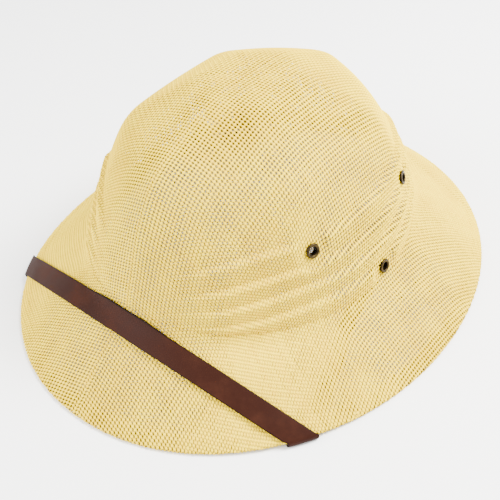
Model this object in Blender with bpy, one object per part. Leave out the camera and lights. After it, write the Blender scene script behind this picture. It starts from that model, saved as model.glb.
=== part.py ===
"""Straw pith helmet: one pressed shell, a chin strap laid over the front brim, six eyelets.

Metres, +Z up, front of the hat towards -Y. The origin is on the floor, under the middle
of the helmet's box. The shell is one pressed sheet: six flat panels under a sunken top,
four pressed tiers along either side of the crown, and a sloping brim with a turned hem.
"""

from collections import namedtuple
from math import asin, atan2, cos, degrees, exp, hypot, pi, radians, sin

import bmesh
import bpy
from mathutils import Matrix, Vector

# Shell, seen from above
CROWN_HALF_WIDTH = 0.0958
CROWN_FRONT = 0.1115
CROWN_BACK = 0.1067
BRIM_HALF_WIDTH = 0.1395
BRIM_FRONT = 0.1625
BRIM_BACK = 0.1638
BRIM_SQUARENESS = 2.05

# Shell, seen from the side
BRIM_DROP = 0.0380
CROWN_HEIGHT = 0.1037
TOP_SINK = 0.0066
TOP_SINK_REACH = 0.58
CROWN_LEAN = 0.0028
JUNCTION_TILT = 0.0046
JUNCTION_SADDLE = 0.0060
BRIM_SAG = 0.15
WALL = 0.0015

# Crown section, from the brim line up to the top: how far the dome reaches at each angle,
# as a share of the ellipse through the crown's width and height
SectionRow = namedtuple("SectionRow", ("degrees_up", "reach"))
CROWN_SECTION = (
    SectionRow(0, 1.000),
    SectionRow(15, 0.960),
    SectionRow(30, 0.962),
    SectionRow(45, 0.982),
    SectionRow(60, 0.963),
    SectionRow(75, 0.998),
    SectionRow(90, 1.000),
)
# Rounds after which a height on that section has settled
SECTION_ROUNDS = 6

# Six panels
PANEL_COUNT = 6
PANEL_FLATNESS = 0.67
PANEL_FLAT_FROM = 0.23
PANEL_FLAT_FULL = 0.74
SEAM_DEPTH = 0.0005
SEAM_WIDTH = 0.0040
# Distance from the top at which the seams have their full depth
SEAM_START = 0.0120
PANEL_COLUMNS = (0.0, 0.045, 0.14, 0.26, 0.38, 0.50, 0.62, 0.74, 0.86, 0.955)
PANEL_STATIONS = (87, 80, 72, 64, 56, 47, 39, 32)

# Pressed tiers along both sides of the crown, top one first
TIER_HEIGHT = 0.0505
TIER_LEDGE = 0.0030
TIER_DEPTH = 0.0027
# Height of each ledge as a share of TIER_HEIGHT, how far it stands out as a share of TIER_DEPTH
Tier = namedtuple("Tier", ("height_share", "depth_share"))
TIERS = (
    Tier(1.000, 1.00),
    Tier(0.735, 1.00),
    Tier(0.515, 0.95),
    Tier(0.297, 0.85),
)
# Towards the front and the back middle the ledges fall, over a span in degrees, and fade out
# between two angles; each keeps a least share of its height
TIER_FALL = 0.0405
TIER_FALL_SPAN = 62.0
TIER_FADE_OUT = 12.0
TIER_FADE_FULL = 32.0
TIER_LEAST = 0.12

# Corner between crown and brim, hem and rim
CORNER_REACH = 0.0060
CORNER_RISE = 0.0034
CORNER_STATIONS = (0.0, 0.25, 0.55, 1.0)
BRIM_STATIONS = (0.34, 0.56, 0.78)
HEM_WIDTH = 0.0080
HEM_STEP = 0.0012
HEM_EXTRA = 0.0004
RIM_STEPS = 3

# Eyelets
CLEARANCE = 0.0003
EYELET_HOLE = 0.0048
EYELET_BARREL = 0.0060
EYELET_FLANGE = 0.0086
EYELET_ROLL = 0.0011
# Height of the roll at its edges, and how far the flange is undercut, as shares of the roll
EYELET_ROLL_EDGE = 0.35
EYELET_UNDERCUT = 0.33
EYELET_SIDES = 14
EYELET_ROLL_STEPS = 3
EYELET_SEAT = 0.0030
EYELET_CALM = 0.0080
EYELET_FLAT = 0.0130
# Height as a share of TIER_HEIGHT; the last one holds the strap
EyeletSpot = namedtuple("EyeletSpot", ("name", "degrees_from_front", "height_share", "holds_strap"))
EYELETS = (
    EyeletSpot("front", 60.3, 0.859, False),
    EyeletSpot("rear", 120.0, 0.6725, False),
    EyeletSpot("lower", 91.6, 0.1865, True),
)

# Chin strap
STRAP_WIDTH = 0.0134
STRAP_THICKNESS = 0.0012
STRAP_GAP = 0.0005
STRAP_SLACK = 0.0020
STRAP_RIM_X = 0.1100
STRAP_RIM_Y = 0.0995
STRAP_MIDDLE_Y = 0.1170
STRAP_BOW = 1.75
STRAP_TAIL = 0.0090
STRAP_UNDER = 0.0120
STRAP_END_CLIMB = 28.0
STRAP_END_RUN = 0.0140
STRAP_COLUMNS = (-1.0, -0.5, 0.0, 0.5, 1.0)
STRAP_TOP_STEPS = 10
STRAP_WRAP_STEPS = 5
STRAP_UNDER_STEPS = 2
STRAP_FREE_STEPS = 8
STRAP_END_STEPS = 4
# Degrees to either side of the strap over which the rim rises to make room for its fold
STRAP_LIFT_SPAN = 30.0
# Shares of the strap's run between which it meets the rim, and halvings to find the place
STRAP_RIM_SEARCH = (0.5, 1.6)
STRAP_RIM_HALVINGS = 30

# Worked out from the sizes above
HEM_THICKNESS = WALL + 2 * HEM_EXTRA
STRAP_STACK = STRAP_THICKNESS + STRAP_GAP
JUNCTION_HEIGHT = BRIM_DROP + HEM_THICKNESS
# Half the distance over which a slope of a smooth surface is read
SLOPE_STEP = 0.0005


def clear_scene():
    """Remove every object of the start-up scene."""
    for item in list(bpy.data.objects):
        bpy.data.objects.remove(item, do_unlink=True)


def make_material(name, colour, roughness, metallic):
    """A Principled material of one colour."""
    material = bpy.data.materials.new(name)
    material.use_nodes = True
    shader = material.node_tree.nodes["Principled BSDF"]
    shader.inputs["Base Color"].default_value = (*colour, 1.0)
    shader.inputs["Roughness"].default_value = roughness
    shader.inputs["Metallic"].default_value = metallic
    return material


def smooth_step(low, high, value):
    """0 below low, 1 above high, smooth between."""
    share = min(max((value - low) / (high - low), 0.0), 1.0)
    return share * share * (3 - 2 * share)


def read_section(rows, position):
    """Smooth value at a position of a table of (position, value) rows."""
    index = 0
    while index < len(rows) - 2 and position > rows[index + 1][0]:
        index += 1
    x0, y0 = rows[index]
    x1, y1 = rows[index + 1]
    before = rows[max(index - 1, 0)]
    after = rows[min(index + 2, len(rows) - 1)]
    slope0 = (y1 - before[1]) / (x1 - before[0])
    slope1 = (after[1] - y0) / (after[0] - x0)
    span = x1 - x0
    share = (position - x0) / span
    rest = 1 - share
    ends = y0 * (1 + 2 * share) * rest ** 2 + y1 * (3 - 2 * share) * share ** 2
    return ends + span * (slope0 * share * rest ** 2 - slope1 * share ** 2 * rest)


def oval_radius(angle, half_width, front, back, squareness=2.0):
    """Distance from the axis to an oval, in the direction of a plan angle from the front."""
    length = front if cos(angle) > 0 else back
    across = abs(sin(angle) / half_width) ** squareness
    along = abs(cos(angle) / length) ** squareness
    return (across + along) ** (-1 / squareness)


def crown_foot_radius(angle):
    """Where crown and brim meet, seen from above."""
    return oval_radius(angle, CROWN_HALF_WIDTH, CROWN_FRONT, CROWN_BACK)


def rim_radius(angle):
    """The brim's outer edge, seen from above."""
    return oval_radius(angle, BRIM_HALF_WIDTH, BRIM_FRONT, BRIM_BACK, BRIM_SQUARENESS)


def crown_foot_height(angle):
    """The brim line falls towards the front and dips at the sides."""
    return JUNCTION_HEIGHT - JUNCTION_TILT * cos(angle) + JUNCTION_SADDLE * cos(2 * angle)


def rim_height(angle):
    """Top of the rim, raised a little on either side where the strap folds under it."""
    turn = abs((angle + pi) % (2 * pi) - pi)
    away = abs(turn - atan2(STRAP_RIM_X, STRAP_RIM_Y))
    return HEM_THICKNESS + STRAP_STACK * smooth_step(0, 1, 1 - away / radians(STRAP_LIFT_SPAN))


def seam_phase(angle):
    """Degrees from the nearest seam, in steps of one panel; seams follow the crown's oval."""
    length = CROWN_FRONT if cos(angle) > 0 else CROWN_BACK
    turn = degrees(atan2(sin(angle) / CROWN_HALF_WIDTH, cos(angle) / length))
    panel = 360 / PANEL_COUNT
    return abs((turn + panel / 2) % panel - panel / 2)


def plan_angle(turn):
    """Plan angle of a turn round the crown's oval, given in radians."""
    length = CROWN_FRONT if cos(turn) > 0 else CROWN_BACK
    return atan2(CROWN_HALF_WIDTH * sin(turn), length * cos(turn))


def panel_share(angle, height_share):
    """How far a flat panel draws the round crown in, 1 where it doesn't."""
    half = pi / PANEL_COUNT
    flat = cos(half) / cos(half - radians(seam_phase(angle)))
    rise = (height_share - PANEL_FLAT_FROM) / (PANEL_FLAT_FULL - PANEL_FLAT_FROM)
    strength = PANEL_FLATNESS * min(max(rise, 0.0), 1.0)
    return (1 - strength * (1 - flat)) / (1 - strength * (1 - cos(half)) / 2)


def crown_point(angle, elevation):
    """Radius, height and share of the crown's height at an elevation in degrees."""
    reach = read_section(CROWN_SECTION, elevation)
    out = reach * cos(radians(elevation))
    up = reach * sin(radians(elevation))
    radius = crown_foot_radius(angle) * out * panel_share(angle, up)
    foot = crown_foot_height(angle)
    sink = TOP_SINK * smooth_step(0, 1, 1 - out / TOP_SINK_REACH)
    height = foot * (1 - up) + (JUNCTION_HEIGHT + CROWN_HEIGHT) * up - sink
    return radius, height, up


def crown_elevation(angle, height):
    """Elevation, in degrees, of the crown at a height above the brim line, below the sunken top."""
    rise = JUNCTION_HEIGHT + CROWN_HEIGHT - crown_foot_height(angle)
    elevation = degrees(asin(min(height / rise, 1.0)))
    for _ in range(SECTION_ROUNDS):
        reach = read_section(CROWN_SECTION, elevation)
        elevation = degrees(asin(min(height / rise / reach, 1.0)))
    return elevation


def crown_at_height(angle, height):
    """The crown's point at a height above the brim line."""
    return crown_point(angle, crown_elevation(angle, height))


def brim_point(angle, share):
    """Radius and height of the brim's upper side, share 0 at the crown and 1 at the rim."""
    foot = crown_foot_radius(angle)
    width = rim_radius(angle) - foot
    fall = share * (1 - BRIM_SAG) + BRIM_SAG * share * share
    top = crown_foot_height(angle)
    corner = CORNER_RISE * max(0.0, 1 - share * width / CORNER_REACH) ** 2
    return foot + width * share, top + (rim_height(angle) - top) * fall + corner


def end_degrees(angle):
    """Degrees from the front or the back middle, whichever is nearer."""
    turn = abs(degrees((angle + pi) % (2 * pi) - pi))
    return min(turn, 180 - turn)


def fallen_level(angle, level):
    """A level of the tiers, lowered towards the front and the back middle."""
    fall = TIER_FALL * max(0.0, 1 - end_degrees(angle) / TIER_FALL_SPAN) ** 2
    above = level - CORNER_RISE
    return CORNER_RISE + above * max(exp(-fall / above), TIER_LEAST)


def tier_relief(height):
    """How far the pressed tiers stand out at a height above the brim line, before they fall."""
    lower = 0.0
    for tier in reversed(TIERS):
        upper = tier.height_share * TIER_HEIGHT
        depth = tier.depth_share * TIER_DEPTH
        if height <= upper:
            ledge = upper - TIER_LEDGE
            if height <= ledge:
                return depth * (height - lower) / (ledge - lower)
            return depth * (upper - height) / TIER_LEDGE
        lower = upper
    return 0.0


def eyelet_calm(angle, level):
    """0 beside an eyelet, where the sheet is pressed flat, 1 away from all of them."""
    calm = 1.0
    turn = abs((angle + pi) % (2 * pi) - pi)
    for spot in EYELETS:
        side = (turn - radians(spot.degrees_from_front)) * crown_foot_radius(angle)
        distance = hypot(side, level - spot.height_share * TIER_HEIGHT)
        calm = min(calm, smooth_step(EYELET_CALM, EYELET_FLAT, distance))
    return calm


def shell_stations(angle):
    """Upper side of the shell along one plan angle, from the top out to the rim.

    Each row is radius, height, relief along the normal, share of the crown's height.
    """
    rows = []
    for elevation in PANEL_STATIONS:
        radius, height, up = crown_point(angle, elevation)
        distance = radians(seam_phase(angle)) * radius
        fade = smooth_step(PANEL_FLAT_FROM, PANEL_FLAT_FULL, up) * smooth_step(0, SEAM_START, radius)
        rows.append((radius, height, -SEAM_DEPTH * fade * max(0.0, 1 - distance / SEAM_WIDTH), up))
    first = crown_elevation(angle, fallen_level(angle, TIER_HEIGHT))
    radius, height, up = crown_point(angle, (PANEL_STATIONS[-1] + first) / 2)
    rows.append((radius, height, 0.0, up))
    fade = smooth_step(TIER_FADE_OUT, TIER_FADE_FULL, end_degrees(angle))
    levels = []
    lower = CORNER_RISE
    for tier in reversed(TIERS):
        upper = tier.height_share * TIER_HEIGHT
        ledge = upper - TIER_LEDGE
        levels += [(lower + ledge) / 2, ledge, upper]
        lower = upper
    for level in reversed(levels):
        fallen = fallen_level(angle, level)
        radius, height, up = crown_at_height(angle, fallen)
        rows.append((radius, height, tier_relief(level) * eyelet_calm(angle, fallen) * fade, up))
    width = rim_radius(angle) - crown_foot_radius(angle)
    corner = [share * CORNER_REACH / width for share in CORNER_STATIONS]
    for share in (*corner, *BRIM_STATIONS):
        rows.append((*brim_point(angle, share), 0.0, 0.0))
    rows.append((*brim_point(angle, 1 - HEM_WIDTH / width), 0.0, 0.0))
    rows.append((*brim_point(angle, 1 - (HEM_WIDTH - HEM_STEP) / width), HEM_EXTRA, 0.0))
    rows.append((*brim_point(angle, 1 - HEM_THICKNESS / 2 / width), HEM_EXTRA, 0.0))
    return rows


def shell_section(angle):
    """Outer and inner lines of the shell's section: lists of (radius, height, lean share)."""
    rows = shell_stations(angle)
    outer = []
    inner = []
    for index, (radius, height, relief, up) in enumerate(rows):
        before = rows[max(index - 1, 0)]
        after = rows[min(index + 1, len(rows) - 1)]
        run = after[0] - before[0]
        fall = after[1] - before[1]
        length = hypot(run, fall)
        normal = (-fall / length, run / length)
        hem = relief if up == 0.0 else 0.0
        depth = relief - WALL - 2 * hem
        outer.append((radius + normal[0] * relief, height + normal[1] * relief, up))
        inner.append((radius + normal[0] * depth, height + normal[1] * depth, up))
    return outer, inner


def place(angle, radius, height, up):
    """World point of a section point; the crown leans back as it rises."""
    return Vector((radius * sin(angle), -radius * cos(angle) + CROWN_LEAN * up, height))


def rim_curve(outer_end, inner_end):
    """Round edge of the rim between the two ends of a section."""
    middle = ((outer_end[0] + inner_end[0]) / 2, (outer_end[1] + inner_end[1]) / 2)
    half = (outer_end[0] - middle[0], outer_end[1] - middle[1])
    size = hypot(*half)
    away = (half[1], -half[0])
    rows = []
    for step in range(1, RIM_STEPS + 1):
        turn = pi * step / (RIM_STEPS + 1)
        radius = middle[0] + half[0] * cos(turn) + away[0] * sin(turn)
        height = middle[1] + half[1] * cos(turn) + away[1] * sin(turn)
        rows.append((radius, max(height, middle[1] - size), 0.0))
    return rows


def shell_angles():
    """Plan angles of the shell's columns, closer together beside the seams."""
    panel = 2 * pi / PANEL_COUNT
    return [plan_angle(panel * (number + share)) for number in range(PANEL_COUNT) for share in PANEL_COLUMNS]


def skin_rings(mesh, rings, close):
    """Join rings of vertices, in order, with four-sided faces."""
    count = len(rings[0])
    last = len(rings) if close else len(rings) - 1
    for index in range(last):
        near = rings[index]
        far = rings[(index + 1) % len(rings)]
        for side in range(count):
            after = (side + 1) % count
            mesh.faces.new((near[side], near[after], far[after], far[side]))


def finish_object(name, mesh, material, sharp_degrees=40.0):
    """Turn a bmesh into a named object with its material and smooth shading."""
    bmesh.ops.recalc_face_normals(mesh, faces=mesh.faces)
    data = bpy.data.meshes.new(name)
    mesh.to_mesh(data)
    mesh.free()
    data.materials.append(material)
    data.shade_smooth()
    data.set_sharp_from_angle(angle=radians(sharp_degrees))
    item = bpy.data.objects.new(name, data)
    bpy.context.scene.collection.objects.link(item)
    return item


def build_shell(material):
    """The pressed straw shell: crown, tiers, brim and hem in one closed solid."""
    mesh = bmesh.new()
    columns = []
    for angle in shell_angles():
        outer, inner = shell_section(angle)
        line = outer + rim_curve(outer[-1], inner[-1]) + inner[::-1]
        columns.append([mesh.verts.new(place(angle, *row)) for row in line])
    rings = [list(ring) for ring in zip(*columns)]
    skin_rings(mesh, rings, close=False)
    top = JUNCTION_HEIGHT + CROWN_HEIGHT - TOP_SINK
    for ring, height in ((rings[0], top), (rings[-1], top - WALL)):
        pole = mesh.verts.new(place(0.0, 0.0, height, 1.0))
        for side, vertex in enumerate(ring):
            mesh.faces.new((vertex, ring[(side + 1) % len(ring)], pole))
    return finish_object("helmet_shell", mesh, material)


def wall_frame(angle, level):
    """Point of the crown's wall at a height above the brim line, with its outward normal."""
    def wall_point(turn, rise):
        return place(turn, *crown_at_height(turn, rise))

    step = SLOPE_STEP / crown_foot_radius(angle)
    along = wall_point(angle + step, level) - wall_point(angle - step, level)
    rise = wall_point(angle, level + SLOPE_STEP) - wall_point(angle, level - SLOPE_STEP)
    return wall_point(angle, level), along.cross(rise).normalized()


def eyelet_places():
    """Name, centre, outward normal, wall depth and strap mark of each eyelet."""
    rows = []
    for side, sign in (("left", 1), ("right", -1)):
        for spot in EYELETS:
            angle = sign * radians(spot.degrees_from_front)
            centre, normal = wall_frame(angle, spot.height_share * TIER_HEIGHT)
            depth = WALL + (STRAP_STACK if spot.holds_strap else 0.0)
            rows.append((f"eyelet_{side}_{spot.name}", centre, normal, depth, spot.holds_strap))
    return rows


def axis_matrix(centre, normal):
    """Matrix that stands +Z on a normal at a centre."""
    turn = Vector((0, 0, 1)).rotation_difference(normal).to_matrix().to_4x4()
    return Matrix.Translation(centre) @ turn


def turned_mesh(line):
    """A closed outline of (radius, height) points, turned round the Z axis."""
    mesh = bmesh.new()
    rings = []
    for side in range(EYELET_SIDES):
        turn = 2 * pi * side / EYELET_SIDES
        rings.append([mesh.verts.new((r * cos(turn), r * sin(turn), z)) for r, z in line])
    skin_rings(mesh, rings, close=True)
    bmesh.ops.remove_doubles(mesh, verts=mesh.verts, dist=1e-6)
    bmesh.ops.dissolve_degenerate(mesh, edges=mesh.edges, dist=1e-7)
    return mesh


def build_eyelet(name, centre, normal, depth, material):
    """A metal eyelet: rolled outer flange, barrel through the wall, flat inner flange."""
    bore = EYELET_HOLE / 2
    barrel = EYELET_BARREL / 2
    flange = EYELET_FLANGE / 2
    seat = CLEARANCE
    back = -(depth + CLEARANCE)
    line = [(barrel, back), (barrel, seat), (flange - EYELET_ROLL * EYELET_UNDERCUT, seat)]
    middle = (bore + flange) / 2
    half = (flange - bore) / 2
    for step in range(1, EYELET_ROLL_STEPS + 1):
        turn = pi * (step - 0.5) / EYELET_ROLL_STEPS
        rise = EYELET_ROLL_EDGE + (1 - EYELET_ROLL_EDGE) * sin(turn)
        line.append((middle + half * cos(turn), seat + EYELET_ROLL * rise))
    line += [(bore, seat), (bore, back - EYELET_ROLL / 2)]
    line += [(flange, back - EYELET_ROLL / 2), (flange, back)]
    mesh = turned_mesh(line)
    mesh.transform(axis_matrix(centre, normal))
    return finish_object(name, mesh, material, sharp_degrees=50.0)


def cut_hole(target, name, centre, normal):
    """Drill the hole for an eyelet's barrel and level the seat under its flange."""
    drill = EYELET_BARREL / 2 + CLEARANCE
    seat = EYELET_FLANGE / 2 + CLEARANCE
    line = [(0, -EYELET_FLANGE), (drill, -EYELET_FLANGE), (drill, 0)]
    line += [(seat, 0), (seat, EYELET_SEAT), (0, EYELET_SEAT)]
    mesh = turned_mesh(line)
    mesh.transform(axis_matrix(centre, normal))
    cutter = finish_object(f"{name}_cutter_{target.name}", mesh, target.data.materials[0])
    cutter.hide_render = True
    cutter.display_type = "WIRE"
    cut = target.modifiers.new(name, "BOOLEAN")
    cut.operation = "DIFFERENCE"
    cut.object = cutter


def brim_surface(spot, offset):
    """Point and normal at a plan place of the brim, moved along the normal by an offset."""
    def height_at(x, y):
        angle = atan2(x, -y)
        foot = crown_foot_radius(angle)
        share = (hypot(x, y) - foot) / (rim_radius(angle) - foot)
        return brim_point(angle, share)[1]

    rise_x = height_at(spot.x + SLOPE_STEP, spot.y) - height_at(spot.x - SLOPE_STEP, spot.y)
    rise_y = height_at(spot.x, spot.y + SLOPE_STEP) - height_at(spot.x, spot.y - SLOPE_STEP)
    normal = Vector((-rise_x, -rise_y, 2 * SLOPE_STEP)).normalized()
    return Vector((spot.x, spot.y, height_at(spot.x, spot.y))) + normal * offset, normal


def hem_share(spot):
    """1 over the hem, 0 well inside it, at a plan place."""
    inset = rim_radius(atan2(spot.x, -spot.y)) - spot.length
    return smooth_step(-2 * HEM_WIDTH, -HEM_WIDTH, -inset)


def rim_tangent(spot):
    """Direction of the rim beside a plan place, and the direction out of the hat."""
    angle = atan2(spot.x, -spot.y)
    step = SLOPE_STEP / rim_radius(angle)
    ends = []
    for turn in (angle - step, angle + step):
        radius = rim_radius(turn)
        ends.append(Vector((radius * sin(turn), -radius * cos(turn))))
    along = (ends[1] - ends[0]).normalized()
    return along, Vector((along.y, -along.x))


def strap_place(share, across):
    """Plan place of a strap column on top of the brim: 0 in front, about 1 at the rim."""
    rise = STRAP_MIDDLE_Y - STRAP_RIM_Y
    centre = Vector((STRAP_RIM_X * share, rise * share ** STRAP_BOW - STRAP_MIDDLE_Y))
    direction = strap_direction(share)
    side = Vector((direction.y, -direction.x, 0.0))
    normal = brim_surface(centre, 0.0)[1]
    side = (side - normal * side.dot(normal)).normalized()
    return centre + side.to_2d() * (across * STRAP_WIDTH / 2)


def strap_direction(share):
    """Plan direction of the strap on top of the brim, towards the rim."""
    slope = (STRAP_MIDDLE_Y - STRAP_RIM_Y) * STRAP_BOW * share ** (STRAP_BOW - 1) / STRAP_RIM_X
    return Vector((1.0, slope)).normalized()


def rim_crossing(across):
    """Share at which a strap column reaches the rim, found by halving."""
    low, high = STRAP_RIM_SEARCH
    for _ in range(STRAP_RIM_HALVINGS):
        middle = (low + high) / 2
        spot = strap_place(middle, across)
        if spot.length < rim_radius(atan2(spot.x, -spot.y)):
            low = middle
        else:
            high = middle
    return low


def strap_on_brim(across):
    """Touching points and outward normals of a strap column on top of the brim."""
    limit = rim_crossing(across)
    rows = []
    for step in range(STRAP_TOP_STEPS):
        spot = strap_place(limit * step / STRAP_TOP_STEPS, across)
        rows.append(brim_surface(spot, STRAP_GAP + HEM_EXTRA * hem_share(spot)))
    return rows


def strap_round_rim(across):
    """Touching points and outward normals of a strap column folded round the rim."""
    edge = strap_place(rim_crossing(across), across)
    outward = rim_tangent(edge)[1]
    centre, normal = brim_surface(edge - outward * (HEM_THICKNESS / 2), HEM_EXTRA - HEM_THICKNESS / 2)
    away = outward.to_3d()
    away = (away - normal * away.dot(normal)).normalized()
    rows = []
    for step in range(STRAP_WRAP_STEPS + 1):
        turn = pi * step / STRAP_WRAP_STEPS
        direction = normal * cos(turn) + away * sin(turn)
        rows.append((centre + direction * (HEM_THICKNESS / 2 + STRAP_GAP), direction))
    return rows


def strap_under_brim(across):
    """The folded strap against the underside of the brim, until its section is square."""
    edge = strap_place(rim_crossing(across), across)
    middle = strap_place(rim_crossing(0.0), 0.0)
    outward = rim_tangent(middle)[1]
    travel = strap_direction(rim_crossing(0.0))
    back = travel - outward * (2 * travel.dot(outward))
    run = STRAP_UNDER - (edge - middle).dot(back)
    rows = []
    for step in range(1, STRAP_UNDER_STEPS + 1):
        spot = edge - outward * (HEM_THICKNESS / 2) + back * (run * step / STRAP_UNDER_STEPS)
        depth = WALL + HEM_EXTRA * hem_share(spot) + STRAP_GAP
        point, normal = brim_surface(spot, -depth)
        rows.append((point, -normal))
    return rows


def strap_on_wall(across):
    """The strap's end against the inside of the crown, up to and past its eyelet."""
    angle = radians(EYELETS[-1].degrees_from_front)
    level = EYELETS[-1].height_share * TIER_HEIGHT
    climb = radians(STRAP_END_CLIMB)
    radius = crown_foot_radius(angle)
    side = across * STRAP_WIDTH / 2
    rows = []
    for step in range(STRAP_END_STEPS + 1):
        along = -STRAP_END_RUN + (STRAP_END_RUN + STRAP_TAIL) * step / STRAP_END_STEPS
        turn = angle + (along * cos(climb) - side * sin(climb)) / radius
        rise = level + along * sin(climb) + side * cos(climb)
        centre, normal = wall_frame(turn, rise)
        rows.append((centre - normal * (WALL + STRAP_GAP), -normal))
    return rows


def strap_free(under, wall):
    """The stretch between brim and wall: smooth middle line, width turning as it goes."""
    start, finish = under[-1], wall[0]
    middle = len(start) // 2
    rows = []
    span = (finish[middle][0] - start[middle][0]).length
    leave = (start[middle][0] - under[-2][middle][0]).normalized() * span
    arrive = (wall[1][middle][0] - finish[middle][0]).normalized() * span
    widths = [row[-1][0] - row[0][0] for row in (start, finish)]
    for step in range(1, STRAP_FREE_STEPS):
        share = step / STRAP_FREE_STEPS
        rest = 1 - share
        centre = start[middle][0] * ((1 + 2 * share) * rest ** 2)
        centre = centre + finish[middle][0] * ((3 - 2 * share) * share ** 2)
        centre = centre + leave * (share * rest ** 2) - arrive * (share ** 2 * rest)
        blend = smooth_step(0, 1, share)
        width = widths[0].lerp(widths[1], blend)
        width = width.normalized() * STRAP_WIDTH
        normal = start[middle][1].lerp(finish[middle][1], blend)
        normal = (normal - width * (normal.dot(width) / STRAP_WIDTH ** 2)).normalized()
        centre = centre + normal * (STRAP_SLACK * sin(pi * share))
        rows.append([(centre + width * (across / 2), normal) for across in STRAP_COLUMNS])
    return rows


def strap_sections():
    """Sections of half the strap, from the front middle to the tail inside the crown."""
    pieces = []
    for part in (strap_on_brim, strap_round_rim, strap_under_brim, strap_on_wall):
        pieces.append([list(row) for row in zip(*(part(across) for across in STRAP_COLUMNS))])
    top, fold, under, wall = pieces
    return top + fold[1:] + under + strap_free(under, wall) + wall


def build_strap(material, eyelets):
    """The chin strap: one closed band over the front brim, its ends inside the crown."""
    half = strap_sections()
    mirrored = [[(Vector((-p.x, p.y, p.z)), Vector((-n.x, n.y, n.z))) for p, n in row] for row in half[1:]]
    mesh = bmesh.new()
    rings = []
    for row in mirrored[::-1] + half:
        outer = [mesh.verts.new(point + normal * STRAP_THICKNESS) for point, normal in row]
        inner = [mesh.verts.new(point) for point, normal in row]
        rings.append(outer + inner[::-1])
    skin_rings(mesh, rings, close=False)
    for ring in (rings[0], rings[-1]):
        mesh.faces.new(ring)
    strap = finish_object("chin_strap", mesh, material)
    for name, centre, normal, _, holds_strap in eyelets:
        if holds_strap:
            cut_hole(strap, name, centre, normal)
    return strap


def stand_on_floor():
    """Move everything so that the origin is under the middle of the hat's box."""
    pieces = [item for item in bpy.data.objects if not item.hide_render]
    corners = [item.matrix_world @ vertex.co for item in pieces for vertex in item.data.vertices]
    low = [min(corner[axis] for corner in corners) for axis in range(3)]
    high = [max(corner[axis] for corner in corners) for axis in range(3)]
    shift = Vector((-(low[0] + high[0]) / 2, -(low[1] + high[1]) / 2, -low[2]))
    for item in bpy.data.objects:
        item.location = shift


def main():
    """Build the helmet."""
    clear_scene()
    straw = make_material("straw", (0.78, 0.62, 0.33), 0.62, 0.0)
    leather = make_material("brown leather", (0.10, 0.045, 0.030), 0.45, 0.0)
    bronze = make_material("dark bronze", (0.13, 0.10, 0.055), 0.40, 0.9)
    eyelets = eyelet_places()
    shell = build_shell(straw)
    for name, centre, normal, depth, _ in eyelets:
        cut_hole(shell, name, centre, normal)
        build_eyelet(name, centre, normal, depth, bronze)
    build_strap(leather, eyelets)
    stand_on_floor()


main()
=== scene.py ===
"""Straw pith helmet, dressed: one woven shell, a leather chin strap and six bronze eyelets.

Metres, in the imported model's frame: +Z up, front of the hat towards -Y. The shell's form is
written about the crown's axis, with plan angles counted from the front towards +X. A net of
flat paper yarns is draped over that form from the top, as a pressed cloth lies on its block:
the yarns keep their spacing, and their crossings shear where the form bends both ways.
"""

import logging
from dataclasses import dataclass
from enum import Enum
from math import atan2, cos, hypot, pi, radians, sin
from typing import NamedTuple

import bpy
import numpy as np
from mathutils import Matrix, Vector


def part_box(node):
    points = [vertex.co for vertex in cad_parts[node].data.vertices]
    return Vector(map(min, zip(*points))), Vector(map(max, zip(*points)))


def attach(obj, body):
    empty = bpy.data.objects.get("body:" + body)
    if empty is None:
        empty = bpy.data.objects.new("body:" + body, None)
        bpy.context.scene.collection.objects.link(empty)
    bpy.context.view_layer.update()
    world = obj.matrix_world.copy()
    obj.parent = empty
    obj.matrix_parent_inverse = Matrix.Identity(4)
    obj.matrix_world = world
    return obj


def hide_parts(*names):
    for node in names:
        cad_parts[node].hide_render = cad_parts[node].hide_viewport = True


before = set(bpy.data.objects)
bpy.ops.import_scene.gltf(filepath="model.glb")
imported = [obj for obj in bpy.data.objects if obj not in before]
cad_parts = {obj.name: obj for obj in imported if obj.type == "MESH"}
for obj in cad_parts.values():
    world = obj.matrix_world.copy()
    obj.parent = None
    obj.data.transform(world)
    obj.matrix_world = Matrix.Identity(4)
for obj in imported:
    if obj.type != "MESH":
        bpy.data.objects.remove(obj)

LOG = logging.getLogger("helmet")
BODY = "root"
LEAST_DIVISOR = 1e-12

# A place is a point and the normal that stands on it, and a line is a row of places.
Place = tuple[Vector, Vector]
Line = list[Place]
Colour = tuple[float, float, float]


def smooth_step(low: float, high: float, value: np.ndarray) -> np.ndarray:
    """Rise smoothly from 0 to 1.

    Args:
        low: Value below which the result is 0.
        high: Value above which the result is 1.
        value: Values to read.

    Returns:
        The share of the rise at each value.
    """
    share = np.clip((value - low) / (high - low), 0.0, 1.0)
    return share * share * (3 - 2 * share)


def unit(vectors: np.ndarray) -> np.ndarray:
    """Vectors along the last axis, each made one long."""
    return vectors / np.maximum(np.linalg.norm(vectors, axis=-1, keepdims=True), LEAST_DIVISOR)


def from_front(angle: np.ndarray) -> np.ndarray:
    """Plan angle from the front middle, counted alike to either side."""
    return np.abs((angle + pi) % (2 * pi) - pi)


class SectionRow(NamedTuple):
    """How far the crown reaches at one angle above the brim line."""

    elevation: float
    reach: float


class Tier(NamedTuple):
    """One pressed tier: where its ledge lies and how far it stands out."""

    height: float
    depth: float


class EyeletSpot(NamedTuple):
    """Where an eyelet sits on the crown's wall."""

    name: str
    angle: float
    height: float
    holds_strap: bool


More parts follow.
